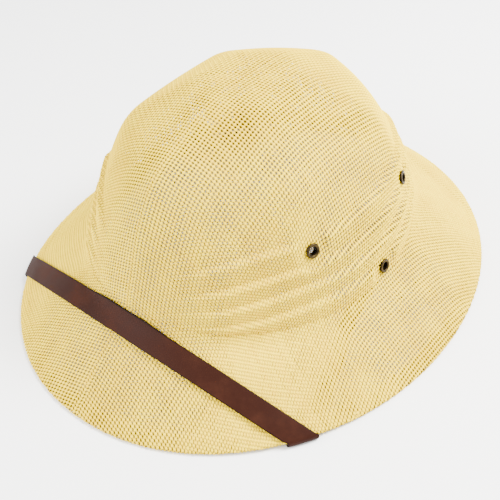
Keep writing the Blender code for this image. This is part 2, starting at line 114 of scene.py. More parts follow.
@dataclass(frozen=True)
class HelmetForm:
    """The pressed form of the shell, about the crown's axis."""

    crown_half_width: float = 0.0958
    crown_front: float = 0.1115
    crown_back: float = 0.1067
    brim_half_width: float = 0.1395
    brim_front: float = 0.1625
    brim_back: float = 0.1638
    brim_squareness: float = 2.05
    brim_drop: float = 0.0380
    crown_height: float = 0.1037
    top_sink: float = 0.0066
    top_sink_reach: float = 0.58
    crown_lean: float = 0.0028
    junction_tilt: float = 0.0046
    junction_saddle: float = 0.0060
    brim_sag: float = 0.15
    wall: float = 0.0015
    crown_section: tuple[SectionRow, ...] = (
        SectionRow(0, 1.000),
        SectionRow(15, 0.960),
        SectionRow(30, 0.962),
        SectionRow(45, 0.982),
        SectionRow(60, 0.963),
        SectionRow(75, 0.998),
        SectionRow(90, 1.000),
    )
    panel_count: int = 6
    panel_flatness: float = 0.67
    panel_flat_from: float = 0.23
    panel_flat_full: float = 0.74
    seam_depth: float = 0.0005
    seam_width: float = 0.0040
    tier_height: float = 0.0505
    tier_ledge: float = 0.0030
    tier_depth: float = 0.0027
    tiers: tuple[Tier, ...] = (
        Tier(1.000, 1.00),
        Tier(0.735, 1.00),
        Tier(0.515, 0.95),
        Tier(0.297, 0.85),
    )
    tier_fall: float = 0.0405
    tier_fall_span: float = 62.0
    tier_fade_out: float = 12.0
    tier_fade_full: float = 32.0
    tier_least: float = 0.12
    corner_reach: float = 0.0060
    corner_rise: float = 0.0034
    hem_width: float = 0.0080
    hem_step: float = 0.0012
    hem_extra: float = 0.0004
    eyelet_calm: float = 0.0080
    eyelet_flat: float = 0.0130
    eyelets: tuple[EyeletSpot, ...] = (
        EyeletSpot("front", 60.3, 0.859, False),
        EyeletSpot("rear", 120.0, 0.6725, False),
        EyeletSpot("lower", 91.6, 0.1865, True),
    )
    strap_rim_x: float = 0.1100
    strap_rim_y: float = 0.0995
    strap_lift: float = 0.0017
    strap_lift_span: float = 30.0
    slope_step: float = 0.0005
    level_rounds: int = 6
    least_level: float = 1e-6
    seam_end: float = 3.0

    @property
    def hem_thickness(self) -> float:
        """Thickness of the doubled cloth at the rim."""
        return self.wall + 2 * self.hem_extra

    @property
    def junction_height(self) -> float:
        """Mean height of the brim line."""
        return self.brim_drop + self.hem_thickness

    def oval_radius(self, angle: np.ndarray, half_width: float, front: float, back: float,
                    squareness: float = 2.0) -> np.ndarray:
        """Distance from the axis to an oval.

        Args:
            angle: Plan angles.
            half_width: Reach to either side.
            front: Reach to the front.
            back: Reach to the back.
            squareness: Power of the oval; 2 is an ellipse.

        Returns:
            The oval's radius at each angle.
        """
        length = np.where(np.cos(angle) > 0, front, back)
        across = np.abs(np.sin(angle) / half_width) ** squareness
        along = np.abs(np.cos(angle) / length) ** squareness
        return (across + along) ** (-1 / squareness)

    def foot_radius(self, angle: np.ndarray) -> np.ndarray:
        """Radius of the line where crown and brim meet."""
        return self.oval_radius(angle, self.crown_half_width, self.crown_front, self.crown_back)

    def rim_radius(self, angle: np.ndarray) -> np.ndarray:
        """Radius of the brim's outer edge."""
        return self.oval_radius(angle, self.brim_half_width, self.brim_front, self.brim_back,
                                self.brim_squareness)

    def foot_height(self, angle: np.ndarray) -> np.ndarray:
        """Height of the brim line, which falls in front and dips at the sides."""
        tilt = self.junction_tilt * np.cos(angle)
        return self.junction_height - tilt + self.junction_saddle * np.cos(2 * angle)

    def rim_height(self, angle: np.ndarray) -> np.ndarray:
        """Top of the rim, raised a little on either side where the strap folds under it.

        Args:
            angle: Plan angles.

        Returns:
            The rim's height at each angle.
        """
        away = np.abs(from_front(angle) - atan2(self.strap_rim_x, self.strap_rim_y))
        rise = smooth_step(0, 1, 1 - away / radians(self.strap_lift_span))
        return self.hem_thickness + self.strap_lift * rise

    def section_reach(self, elevation: np.ndarray) -> np.ndarray:
        """Smooth reading of the crown's section.

        Args:
            elevation: Angles above the brim line, in degrees.

        Returns:
            The reach at each angle, as a share of the crown's ellipse.
        """
        x, y = np.array(self.crown_section).T
        low = np.clip(np.searchsorted(x, elevation) - 1, 0, len(x) - 2)
        before = np.maximum(low - 1, 0)
        after = np.minimum(low + 2, len(x) - 1)
        slope_low = (y[low + 1] - y[before]) / (x[low + 1] - x[before])
        slope_high = (y[after] - y[low]) / (x[after] - x[low])
        span = x[low + 1] - x[low]
        share = (elevation - x[low]) / span
        rest = 1 - share
        ends = y[low] * (1 + 2 * share) * rest ** 2 + y[low + 1] * (3 - 2 * share) * share ** 2
        return ends + span * (slope_low * share * rest ** 2 - slope_high * share ** 2 * rest)

    def seam_phase(self, angle: np.ndarray) -> np.ndarray:
        """Turn from the nearest seam, counted round the crown's oval.

        Args:
            angle: Plan angles.

        Returns:
            Degrees from the nearest seam.
        """
        length = np.where(np.cos(angle) > 0, self.crown_front, self.crown_back)
        turn = np.arctan2(np.sin(angle) / self.crown_half_width, np.cos(angle) / length)
        panel = 360 / self.panel_count
        return np.abs((np.degrees(turn) + panel / 2) % panel - panel / 2)

    def panel_share(self, angle: np.ndarray, up: np.ndarray) -> np.ndarray:
        """How far a flat panel draws the round crown in.

        Args:
            angle: Plan angles.
            up: Shares of the crown's height.

        Returns:
            The panel's radius as a share of the round crown's.
        """
        half = pi / self.panel_count
        flat = cos(half) / np.cos(half - np.radians(self.seam_phase(angle)))
        rise = (up - self.panel_flat_from) / (self.panel_flat_full - self.panel_flat_from)
        strength = self.panel_flatness * np.clip(rise, 0.0, 1.0)
        return (1 - strength * (1 - flat)) / (1 - strength * (1 - cos(half)) / 2)

    def crown_point(self, angle: np.ndarray,
                    elevation: np.ndarray) -> tuple[np.ndarray, np.ndarray, np.ndarray]:
        """A point of the smooth crown.

        Args:
            angle: Plan angles.
            elevation: Angles above the brim line, in degrees.

        Returns:
            Radius, height and share of the crown's height.
        """
        reach = self.section_reach(elevation)
        out = reach * np.cos(np.radians(elevation))
        up = reach * np.sin(np.radians(elevation))
        radius = self.foot_radius(angle) * out * self.panel_share(angle, up)
        sink = self.top_sink * smooth_step(0, 1, 1 - out / self.top_sink_reach)
        top = self.junction_height + self.crown_height
        return radius, self.foot_height(angle) * (1 - up) + top * up - sink, up

    def crown_elevation(self, angle: np.ndarray, level: np.ndarray) -> np.ndarray:
        """Where the wall reaches a height above the brim line.

        Args:
            angle: Plan angles.
            level: Heights above the brim line.

        Returns:
            Angles above the brim line, in degrees.
        """
        rise = self.junction_height + self.crown_height - self.foot_height(angle)
        share = level / rise
        elevation = np.degrees(np.arcsin(np.minimum(share, 1.0)))
        for _ in range(self.level_rounds):
            reach = self.section_reach(elevation)
            elevation = np.degrees(np.arcsin(np.minimum(share / reach, 1.0)))
        return elevation

    def brim_point(self, angle: np.ndarray, share: np.ndarray) -> tuple[np.ndarray, np.ndarray]:
        """A point of the brim's upper side.

        Args:
            angle: Plan angles.
            share: 0 at the crown, 1 at the rim.

        Returns:
            Radius and height.
        """
        foot = self.foot_radius(angle)
        width = self.rim_radius(angle) - foot
        fall = share * (1 - self.brim_sag) + self.brim_sag * share * share
        top = self.foot_height(angle)
        corner = self.corner_rise * np.maximum(0.0, 1 - share * width / self.corner_reach) ** 2
        return foot + width * share, top + (self.rim_height(angle) - top) * fall + corner

    def end_degrees(self, angle: np.ndarray) -> np.ndarray:
        """Degrees from the front or the back middle, whichever is nearer."""
        turn = np.degrees(from_front(angle))
        return np.minimum(turn, 180 - turn)

    def fallen_level(self, angle: np.ndarray, level: np.ndarray) -> np.ndarray:
        """Lower the tiers towards the front and the back middle.

        Args:
            angle: Plan angles.
            level: Heights above the brim line at the sides.

        Returns:
            The same lines' heights above the brim line at each angle.
        """
        share = np.maximum(0.0, 1 - self.end_degrees(angle) / self.tier_fall_span)
        above = level - self.corner_rise
        kept = np.exp(-self.tier_fall * share ** 2 / np.maximum(above, self.least_level))
        return self.corner_rise + above * np.maximum(kept, self.tier_least)

    def tier_fade(self, angle: np.ndarray) -> np.ndarray:
        """1 along the sides, 0 where the tiers have faded out in front and behind."""
        return smooth_step(self.tier_fade_out, self.tier_fade_full, self.end_degrees(angle))

    def tier_relief(self, level: np.ndarray) -> np.ndarray:
        """How far the tiers stand out along the sides.

        Args:
            level: Heights above the brim line, before the tiers fall.

        Returns:
            The relief at each height.
        """
        heights, depths = [0.0], [0.0]
        for tier in reversed(self.tiers):
            upper = tier.height * self.tier_height
            heights += [upper - self.tier_ledge, upper]
            depths += [tier.depth * self.tier_depth, 0.0]
        return np.interp(level, heights, depths)

    def calm(self, angle: np.ndarray, level: np.ndarray) -> np.ndarray:
        """Where the cloth is pressed flat round the eyelets.

        Args:
            angle: Plan angles.
            level: Heights above the brim line.

        Returns:
            0 beside an eyelet, 1 away from all of them.
        """
        turn = from_front(angle)
        share = np.ones(np.broadcast(angle, level).shape)
        for spot in self.eyelets:
            side = (turn - radians(spot.angle)) * self.foot_radius(angle)
            distance = np.hypot(side, level - spot.height * self.tier_height)
            share = np.minimum(share, smooth_step(self.eyelet_calm, self.eyelet_flat, distance))
        return share

    def seam_relief(self, angle: np.ndarray, radius: np.ndarray, up: np.ndarray) -> np.ndarray:
        """Depth of the soft groove along the crown's seams.

        Args:
            angle: Plan angles.
            radius: Distances from the axis.
            up: Shares of the crown's height.

        Returns:
            The relief, below 0 in a groove.
        """
        distance = np.radians(self.seam_phase(angle)) * radius
        fade = smooth_step(self.panel_flat_from, self.panel_flat_full, up)
        fade = fade * smooth_step(0, self.seam_end * self.seam_width, radius)
        return -self.seam_depth * fade * (1 - smooth_step(0, self.seam_width, distance))

    def place(self, angle: np.ndarray, radius: np.ndarray, height: np.ndarray,
              up: np.ndarray) -> np.ndarray:
        """Points of the form; the crown leans back as it rises.

        Args:
            angle: Plan angles.
            radius: Distances from the axis.
            height: Heights.
            up: Shares of the crown's height.

        Returns:
            Points, [..., 3].
        """
        x = radius * np.sin(angle)
        y = -radius * np.cos(angle) + self.crown_lean * up
        return np.stack(np.broadcast_arrays(x, y, height), axis=-1)

    def wall_point(self, angle: float, level: float) -> np.ndarray:
        """Point of the smooth wall at a height above the brim line."""
        elevation = self.crown_elevation(np.asarray(angle), np.asarray(level))
        return self.place(angle, *self.crown_point(np.asarray(angle), elevation))

    def wall_frame(self, angle: float, level: float) -> Place:
        """Place on the outside of the smooth wall.

        Args:
            angle: Plan angle.
            level: Height above the brim line.

        Returns:
            The point and its outward normal.
        """
        step = self.slope_step / float(self.foot_radius(np.asarray(angle)))
        along = self.wall_point(angle + step, level) - self.wall_point(angle - step, level)
        above = self.wall_point(angle, level + self.slope_step)
        rise = above - self.wall_point(angle, level - self.slope_step)
        return Vector(self.wall_point(angle, level)), Vector(np.cross(along, rise)).normalized()


@dataclass
class ClothMap:
    """Flat cloth places read as points of the pressed shell.

    A flat place is a distance from the crown's top, along the shell, at a plan angle. The map
    holds the smooth block that the net is draped on, and the pressed cloth with its relief.
    """

    form: HelmetForm
    thickness: float = 0.0010
    columns: int = 480
    step: float = 0.0004
    margin: float = 0.012
    row_margin: float = 0.001
    pole_rows: int = 4
    crown_stations: int = 90
    tier_stations: int = 130
    corner_stations: int = 16
    brim_stations: int = 40
    hem_stations: int = 20
    fold_stations: int = 8

    def __post_init__(self) -> None:
        """Work out the tables."""
        self.angles = np.arange(self.columns) * (2 * pi / self.columns)
        self.fill_tables()

    def upper_lines(self) -> tuple[np.ndarray, ...]:
        """Upper side of the shell along every plan angle, from the top to the rim.

        Returns:
            Radius, height, crown share and relief, each as [station, angle], and the
            numbers of the stations at the crown's foot and at the hem.
        """
        form, angle = self.form, self.angles[None, :]
        first = form.crown_elevation(angle, form.fallen_level(angle, form.tier_height))
        share = np.linspace(0, 1, self.crown_stations)[:, None]
        radius, height, up = form.crown_point(angle, 90 + (first - 90) * share)
        top = (radius, height, up, form.seam_relief(angle, radius, up))
        level = np.linspace(form.tier_height, form.corner_rise, self.tier_stations)[1:, None]
        fallen = form.fallen_level(angle, level)
        radius, height, up = form.crown_point(angle, form.crown_elevation(angle, fallen))
        relief = form.tier_relief(level) * form.tier_fade(angle) * form.calm(angle, fallen)
        wall = (radius, height, up, relief)
        width = form.rim_radius(angle) - form.foot_radius(angle)
        corner = np.linspace(0, form.corner_reach, self.corner_stations)[:, None] + 0 * width
        share = np.linspace(0, 1, self.brim_stations)[1:, None]
        flat = form.corner_reach + (width - form.hem_width - form.corner_reach) * share
        share = np.linspace(0, 1, self.hem_stations)[1:, None]
        hem = width - form.hem_width + (form.hem_width - form.hem_thickness / 2) * share
        distance = np.concatenate((corner, flat, hem))
        radius, height = form.brim_point(angle, distance / width)
        lift = form.hem_extra * smooth_step(0, form.hem_step, distance - width + form.hem_width)
        brim = (radius, height, 0 * radius, lift)
        foot = self.crown_stations + self.tier_stations - 1
        hem_start = foot + self.corner_stations + self.brim_stations - 2
        return (*(np.concatenate(rows) for rows in zip(top, wall, brim)), foot, hem_start)

    def section_normals(self, radius: np.ndarray, height: np.ndarray) -> tuple[np.ndarray, ...]:
        """Outward direction of the section at each station.

        Args:
            radius: Distances from the axis, [station, angle].
            height: Heights, [station, angle].

        Returns:
            The direction's parts away from the axis and upwards.
        """
        run, fall = np.gradient(radius, axis=0), np.gradient(height, axis=0)
        length = np.maximum(np.hypot(run, fall), LEAST_DIVISOR)
        return -fall / length, run / length

    def fold(self, upper: np.ndarray, lower: np.ndarray) -> np.ndarray:
        """Half circle from the upper to the lower layer.

        Args:
            upper: Radius and height of the upper layer's edge, [2, angle].
            lower: The same for the lower layer.

        Returns:
            Radius and height along the fold, [2, station, angle].
        """
        middle, half = (upper + lower) / 2, (upper - lower) / 2
        away = np.stack((half[1], -half[0]))
        turn = pi * np.arange(1, self.fold_stations) / self.fold_stations
        turn = turn[None, :, None]
        return middle[:, None] + half[:, None] * np.cos(turn) + away[:, None] * np.sin(turn)

    def fill_tables(self) -> None:
        """Make the tables of block points, cloth points and cloth normals.

        The cloth goes on round the hem's fold and back under the brim. The block runs straight
        on from the rim over the same distance, so that the net has something to lie on there.
        """
        form = self.form
        radius, height, up, relief, foot, hem_start = self.upper_lines()
        out, rise = self.section_normals(radius, height)
        middle = self.thickness / 2
        block = np.stack((radius - out * middle, height - rise * middle))
        depth = relief - middle
        cloth = np.stack((radius + out * depth, height + rise * depth))
        depth = middle - form.wall - form.hem_extra
        under = np.stack((radius + out * depth, height + rise * depth))[:, hem_start:][:, ::-1]
        turned = np.concatenate((self.fold(cloth[:, -1], under[:, 0]), under), axis=1)
        whole = np.concatenate((cloth, turned), axis=1)
        path = np.hypot(*np.diff(block, axis=1))
        tail = np.hypot(*np.diff(whole, axis=1))[block.shape[1] - 1:]
        reach = np.concatenate((0 * path[:1], np.cumsum(np.concatenate((path, tail)), axis=0)))
        edge = block.shape[1] - 1
        away = (block[:, -1] - block[:, -2]) / path[-1]
        beyond = reach[edge + 1:] - reach[edge]
        flat = np.concatenate((block, block[:, -1:] + away[:, None] * beyond), axis=1)
        far = np.full((1, self.columns), self.margin)
        flat = np.concatenate((flat, flat[:, -1:] + away[:, None] * far), axis=1)
        whole = np.concatenate((whole, whole[:, -1:]), axis=1)
        self.foot_reach, self.end_reach = reach[foot], reach[-1]
        reach = np.concatenate((reach, reach[-1:] + self.margin))
        up = np.concatenate((up, np.zeros((whole.shape[1] - up.shape[0], self.columns))))
        rows = int(reach[-1].max() / self.step) + 2
        grid = np.arange(rows) * self.step
        self.block = self.resample(form.place(self.angles, flat[0], flat[1], up), reach, grid)
        self.cloth = self.resample(form.place(self.angles, whole[0], whole[1], up), reach, grid)
        along = np.gradient(self.cloth, axis=0)
        around = np.roll(self.cloth, -1, axis=1) - np.roll(self.cloth, 1, axis=1)
        self.normals = unit(np.cross(along, around))
        self.normals[:self.pole_rows] = unit(self.normals[self.pole_rows].mean(axis=0))

    @staticmethod
    def resample(points: np.ndarray, reach: np.ndarray, grid: np.ndarray) -> np.ndarray:
        """Points along every plan angle, read at even distances from the top.

        Args:
            points: Points, [station, angle, 3].
            reach: Distance of each from the top, [station, angle].
            grid: The even distances.

        Returns:
            The points read, [distance, angle, 3].
        """
        table = np.empty((len(grid), points.shape[1], 3))
        for column in range(points.shape[1]):
            for axis in range(3):
                table[:, column, axis] = np.interp(grid, reach[:, column], points[:, column, axis])
        return table

    def read(self, table: np.ndarray, flat: np.ndarray) -> np.ndarray:
        """Values of a table at flat places.

        Args:
            table: One of the map's tables, [distance, angle, part].
            flat: Flat places, [..., 2].

        Returns:
            The values, [..., part].
        """
        reach = np.hypot(flat[..., 0], flat[..., 1]) / self.step
        column = np.arctan2(flat[..., 0], -flat[..., 1]) / (2 * pi) % 1.0 * self.columns
        row = np.minimum(reach, table.shape[0] - 1 - self.row_margin)
        i, j = row.astype(int), column.astype(int) % self.columns
        f, g = (row - i)[..., None], (column % self.columns - j)[..., None]
        after = (j + 1) % self.columns
        near = table[i, j] * (1 - g) + table[i, after] * g
        far = table[i + 1, j] * (1 - g) + table[i + 1, after] * g
        return near * (1 - f) + far * f

    def limit(self, reach: np.ndarray, flat: np.ndarray) -> np.ndarray:
        """A reach given for each plan angle, read at flat places."""
        turn = np.arctan2(flat[..., 0], -flat[..., 1]) % (2 * pi)
        return np.interp(turn, self.angles, reach, period=2 * pi)


@dataclass
class YarnNet:
    """The crossings of a cloth that is draped over the block from the top of the crown.

    From three crossings of a cell the fourth is found, one spacing from both its neighbours.
    """

    cloth: ClothMap
    spacing_x: float = 0.00235
    spacing_y: float = 0.00195
    probe: float = 0.0003
    rounds: int = 6
    beyond: float = 1.0

    def counts(self) -> tuple[int, int]:
        """Yarns from the middle to the furthest hem, to the side and to the front."""
        reach = self.cloth.end_reach.max()
        return int(reach / self.spacing_x) + 2, int(reach / self.spacing_y) + 2

    def close_cells(self, guess: np.ndarray, beside: np.ndarray, before: np.ndarray) -> np.ndarray:
        """Move guesses until they lie one spacing from both neighbours.

        Args:
            guess: Flat places to start from.
            beside: The neighbour across, in space.
            before: The neighbour along, in space.

        Returns:
            The flat places found.
        """
        block, read = self.cloth.block, self.cloth.read
        for _ in range(self.rounds):
            spot = read(block, guess)
            slope_x = (read(block, guess + (self.probe, 0)) - spot) / self.probe
            slope_y = (read(block, guess + (0, self.probe)) - spot) / self.probe
            to_beside, to_before = spot - beside, spot - before
            miss_x = ((to_beside ** 2).sum(-1) - self.spacing_x ** 2) / 2
            miss_y = ((to_before ** 2).sum(-1) - self.spacing_y ** 2) / 2
            a, b = (to_beside * slope_x).sum(-1), (to_beside * slope_y).sum(-1)
            c, d = (to_before * slope_x).sum(-1), (to_before * slope_y).sum(-1)
            whole = a * d - b * c
            whole = np.where(np.abs(whole) < LEAST_DIVISOR, LEAST_DIVISOR, whole)
            move = np.stack((miss_x * d - miss_y * b, miss_y * a - miss_x * c), -1)
            move = move / whole[..., None]
            guess = guess - np.clip(move, -self.spacing_x / 2, self.spacing_x / 2)
        return guess

    def quarter(self, side: int, front: int) -> np.ndarray:
        """Crossings of one quarter of the cloth.

        Args:
            side: 1 towards +X, -1 towards -X.
            front: 1 towards +Y, -1 towards -Y.

        Returns:
            Flat places, [yarn along, yarn across, 2], not a number past the cloth's edge.
        """
        count_x, count_y = self.counts()
        flat = np.full((count_x + 1, count_y + 1, 2), np.nan)
        flat[:, 0] = np.outer(np.arange(count_x + 1), (side * self.spacing_x, 0))
        flat[0, :] = np.outer(np.arange(count_y + 1), (0, front * self.spacing_y))
        reach = self.cloth.end_reach.max() + self.cloth.margin / 2
        for total in range(2, count_x + count_y + 1):
            i = np.arange(max(1, total - count_y), min(count_x, total - 1) + 1)
            j = total - i
            guess = flat[i - 1, j] + flat[i, j - 1] - flat[i - 1, j - 1]
            known = np.isfinite(guess).all(-1)
            known &= np.hypot(*np.nan_to_num(guess, nan=self.beyond).T) < reach
            if not known.any():
                continue
            i, j = i[known], j[known]
            beside = self.cloth.read(self.cloth.block, flat[i - 1, j])
            before = self.cloth.read(self.cloth.block, flat[i, j - 1])
            flat[i, j] = self.close_cells(guess[known], beside, before)
        return flat

    def crossings(self) -> np.ndarray:
        """Put the four quarters of the cloth together.

        Returns:
            All crossings, [lengthwise yarn, crosswise yarn, 2], numbered from the hat's right.
        """
        halves = []
        for side in (-1, 1):
            back, front = self.quarter(side, 1), self.quarter(side, -1)
            halves.append(np.concatenate((front[:, :0:-1], back), axis=1))
        return np.concatenate((halves[0][:0:-1], halves[1]), axis=0)


class Zone(Enum):
    """Part of the hat that a set of yarns covers."""

    CROWN = "crown"
    FRONT_BRIM = "front_brim"
    BACK_BRIM = "back_brim"


class YarnSet(Enum):
    """Direction that a set of yarns runs in, and which of the two lies over first."""

    LENGTHWISE = "lengthwise"
    CROSSWISE = "crosswise"


def socket(group: bpy.types.NodeTree, name: str, kind: str, way: str,
           value: float | None = None) -> None:
    """Add a named socket to a node group.

    Args:
        group: The node group.
        name: The socket's name.
        kind: Float, Vector or Color.
        way: INPUT or OUTPUT.
        value: What the socket holds when nothing feeds it.
    """
    made = group.interface.new_socket(name=name, in_out=way, socket_type=f"NodeSocket{kind}")
    if value is not None:
        made.default_value = value


class NodeSheet:
    """Places nodes in a tree from left to right and links them."""

    COLUMNS = 8
    COLUMN_WIDTH = 200
    ROW_HEIGHT = 260

    def __init__(self, tree: bpy.types.NodeTree) -> None:
        """Start on a tree."""
        self.tree = tree
        self.count = 0

    def add(self, kind: str, **settings: object) -> bpy.types.Node:
        """Add a node.

        Args:
            kind: The node's type, without its ShaderNode prefix.
            **settings: Properties of the node; inputs is a dict of socket values.

        Returns:
            The node.
        """
        prefix = "" if kind.startswith("NodeGroup") else "ShaderNode"
        node = self.tree.nodes.new(prefix + kind)
        row, column = divmod(self.count, self.COLUMNS)
        node.location = (self.COLUMN_WIDTH * column, -self.ROW_HEIGHT * row)
        self.count += 1
        values = settings.pop("inputs", {})
        for name, value in settings.items():
            setattr(node, name, value)
        for name, value in values.items():
            node.inputs[name].default_value = value
        return node

    def link(self, source: bpy.types.NodeSocket, target: bpy.types.NodeSocket) -> None:
        """Join two sockets."""
        self.tree.links.new(source, target)

    def attribute(self, name: str, output: str = "Fac") -> bpy.types.NodeSocket:
        """Read what is painted on the mesh."""
        return self.add("Attribute", attribute_name=name).outputs[output]

    def maths(self, operation: str, *values: object) -> bpy.types.NodeSocket:
        """Join values with a Math node.

        Args:
            operation: What the node does.
            *values: Sockets or numbers, in the order of the node's inputs.

        Returns:
            The result.
        """
        node = self.add("Math", operation=operation)
        for index, value in enumerate(values):
            if isinstance(value, bpy.types.NodeSocket):
                self.link(value, node.inputs[index])
            else:
                node.inputs[index].default_value = value
        return node.outputs[0]

    def blend(self, share: bpy.types.NodeSocket, low: object, high: object) -> bpy.types.NodeSocket:
        """Blend two colours.

        Args:
            share: How much of the second colour there is.
            low: The first colour, a socket or three numbers.
            high: The second colour, a socket or three numbers.

        Returns:
            The colour between them.
        """
        node = self.add("Mix", data_type="RGBA")
        self.link(share, node.inputs["Factor"])
        for name, value in (("A", low), ("B", high)):
            place = next(s for s in node.inputs if s.name == name and s.type == "RGBA")
            if isinstance(value, bpy.types.NodeSocket):
                self.link(value, place)
            else:
                place.default_value = (*value, 1.0)
        return next(s for s in node.outputs if s.type == "RGBA")

    def effect(self, group: bpy.types.NodeTree, position: bpy.types.NodeSocket,
               **values: float) -> bpy.types.NodeSocket:
        """Place a shared effect.

        Args:
            group: The effect's node group.
            position: Where on the surface it is read.
            **values: What its other inputs hold.

        Returns:
            The effect's output.
        """
        node = self.add("Group", node_tree=group, inputs=values)
        self.link(position, node.inputs["Position"])
        return node.outputs[0]

    def relief(self, height: bpy.types.NodeSocket, shader: bpy.types.Node, strength: float,
               distance: float) -> None:
        """Give a shader a fine relief.

        Args:
            height: The relief's height over the surface, from 0 to 1.
            shader: The shader whose normal it feeds.
            strength: How strongly it shows.
            distance: Depth of the relief.
        """
        bump = self.add("Bump", inputs={"Strength": strength, "Distance": distance})
        self.link(height, bump.inputs["Height"])
        self.link(bump.outputs["Normal"], shader.inputs["Normal"])


def start_material(name: str, values: dict[str, object]
                   ) -> tuple[bpy.types.Material, NodeSheet, bpy.types.Node]:
    """Make a material to be finished with nodes.

    Args:
        name: The material's name.
        values: What the shader's own sockets hold.

    Returns:
        The material, a sheet for its nodes, and its shader.
    """
    made = bpy.data.materials.new(name)
    made.use_nodes = True
    shader = made.node_tree.nodes["Principled BSDF"]
    for socket_name, value in values.items():
        shader.inputs[socket_name].default_value = value
    return made, NodeSheet(made.node_tree), shader


class SharedEffects:
    """Node groups that more than one finish uses, each built once."""

    def __init__(self) -> None:
        """Build the groups."""
        self.patches = self.build_patches()
        self.grain = self.build_grain()

    @staticmethod
    def build_patches() -> bpy.types.NodeTree:
        """Soft uneven patches over a surface, from large clouds broken up by small ones.

        Returns:
            The group, which reads a position and puts out a mask.
        """
        group = bpy.data.node_groups.new("soft patches", "ShaderNodeTree")
        socket(group, "Position", "Vector", "INPUT")
        socket(group, "Scale", "Float", "INPUT", 20.0)
        socket(group, "Low", "Float", "INPUT", 0.35)
        socket(group, "High", "Float", "INPUT", 0.65)
        socket(group, "Mask", "Float", "OUTPUT")
        sheet = NodeSheet(group)
        start, end = sheet.add("NodeGroupInput"), sheet.add("NodeGroupOutput")
        clouds = sheet.add("TexNoise", inputs={"Detail": 4.0, "Roughness": 0.62})
        sheet.link(start.outputs["Position"], clouds.inputs["Vector"])
        sheet.link(start.outputs["Scale"], clouds.inputs["Scale"])
        spread = sheet.add("MapRange", interpolation_type="SMOOTHSTEP")
        sheet.link(clouds.outputs["Fac"], spread.inputs["Value"])
        sheet.link(start.outputs["Low"], spread.inputs["From Min"])
        sheet.link(start.outputs["High"], spread.inputs["From Max"])
        sheet.link(spread.outputs["Result"], end.inputs["Mask"])
        return group

    @staticmethod
    def build_grain() -> bpy.types.NodeTree:
        """Fine stretched grain, or small cells where Cells is nearer 1.

        Returns:
            The group, which reads a position and puts out a value about one half.
        """
        group = bpy.data.node_groups.new("fine grain", "ShaderNodeTree")
        socket(group, "Position", "Vector", "INPUT")
        socket(group, "Scale", "Float", "INPUT", 100.0)
        socket(group, "Cells", "Float", "INPUT", 0.0)
        socket(group, "Grain", "Float", "OUTPUT")
        sheet = NodeSheet(group)
        start, end = sheet.add("NodeGroupInput"), sheet.add("NodeGroupOutput")
        noise = sheet.add("TexNoise", inputs={"Detail": 3.0, "Roughness": 0.55})
        cells = sheet.add("TexVoronoi", feature="DISTANCE_TO_EDGE")
        for node in (noise, cells):
            sheet.link(start.outputs["Position"], node.inputs["Vector"])
            sheet.link(start.outputs["Scale"], node.inputs["Scale"])
        joined = sheet.add("Mix", data_type="FLOAT")
        sheet.link(start.outputs["Cells"], joined.inputs["Factor"])
        sheet.link(noise.outputs["Fac"], joined.inputs["A"])
        sheet.link(cells.outputs["Distance"], joined.inputs["B"])
        sheet.link(joined.outputs["Result"], end.inputs["Grain"])
        return group


@dataclass(frozen=True)
class StrawFinish:
    """Flat twisted paper yarn: pale cream, warmer in patches, with fine lengthwise fibres, and
    painted shade on the yarns' edges beside the holes and on their undersides.
    """

    name: str
    effects: SharedEffects
    pale: Colour = (0.95, 0.69, 0.001)
    golden: Colour = (0.90, 0.60, 0.001)
    shaded: Colour = (0.55, 0.30, 0.002)
    # Painted shade: dark brown laid on the yarns' edges beside the holes and on their undersides,
    # standing in for the shadow inside the hat.
    inner: Colour = (0.050, 0.027, 0.003)
    roughness: float = 0.70
    specular: float = 0.05
    hole_shade_reach: float = 0.6
    hole_shade: float = 0.97
    patch_scale: float = 26.0
    patch_low: float = 0.40
    patch_high: float = 0.78
    patch_shade: float = 0.35
    fibre_scale: float = 900.0
    fibre_shade: float = 0.22
    fibre_relief: float = 0.6
    fibre_depth: float = 0.00005

    def painted_shade_share(self, sheet: NodeSheet) -> bpy.types.NodeSocket:
        """Find where the painted shade goes: the yarns' edges that look into a hole of the weave,
        and their undersides there.

        Args:
            sheet: The material's nodes.

        Returns:
            How much painted shade shows, most at an edge half way between crossings.
        """
        wave = sheet.maths("SINE", sheet.maths("MULTIPLY", sheet.attribute("weave"), pi))
        hole = sheet.maths("MULTIPLY_ADD", wave, 0.5, 0.5)
        edge = sheet.maths("POWER", sheet.attribute("edge"), self.hole_shade_reach)
        return sheet.maths("MULTIPLY", sheet.maths("MULTIPLY", edge, hole), self.hole_shade)

    def material(self) -> bpy.types.Material:
        """Build the finish.

        Returns:
            The material.
        """
        values = {"Roughness": self.roughness, "Specular IOR Level": self.specular}
        made, sheet, shader = start_material(self.name, values)
        patch = sheet.effect(self.effects.patches, sheet.add("TexCoord").outputs["Object"],
                             Scale=self.patch_scale, Low=self.patch_low, High=self.patch_high)
        grain = sheet.effect(self.effects.grain, sheet.attribute("fibre", "Vector"),
                             Scale=self.fibre_scale, Cells=0.0)
        colour = sheet.blend(sheet.attribute("tone"), self.pale, self.golden)
        for mask, shade in ((patch, self.patch_shade), (grain, self.fibre_shade)):
            colour = sheet.blend(sheet.maths("MULTIPLY", mask, shade), colour, self.shaded)
        # Painted shade: the yarns' edges round the holes and their undersides turn to the dark
        # inner colour.
        colour = sheet.blend(self.painted_shade_share(sheet), colour, self.inner)
        sheet.link(colour, shader.inputs["Base Color"])
        sheet.relief(grain, shader, self.fibre_relief, self.fibre_depth)
        return made


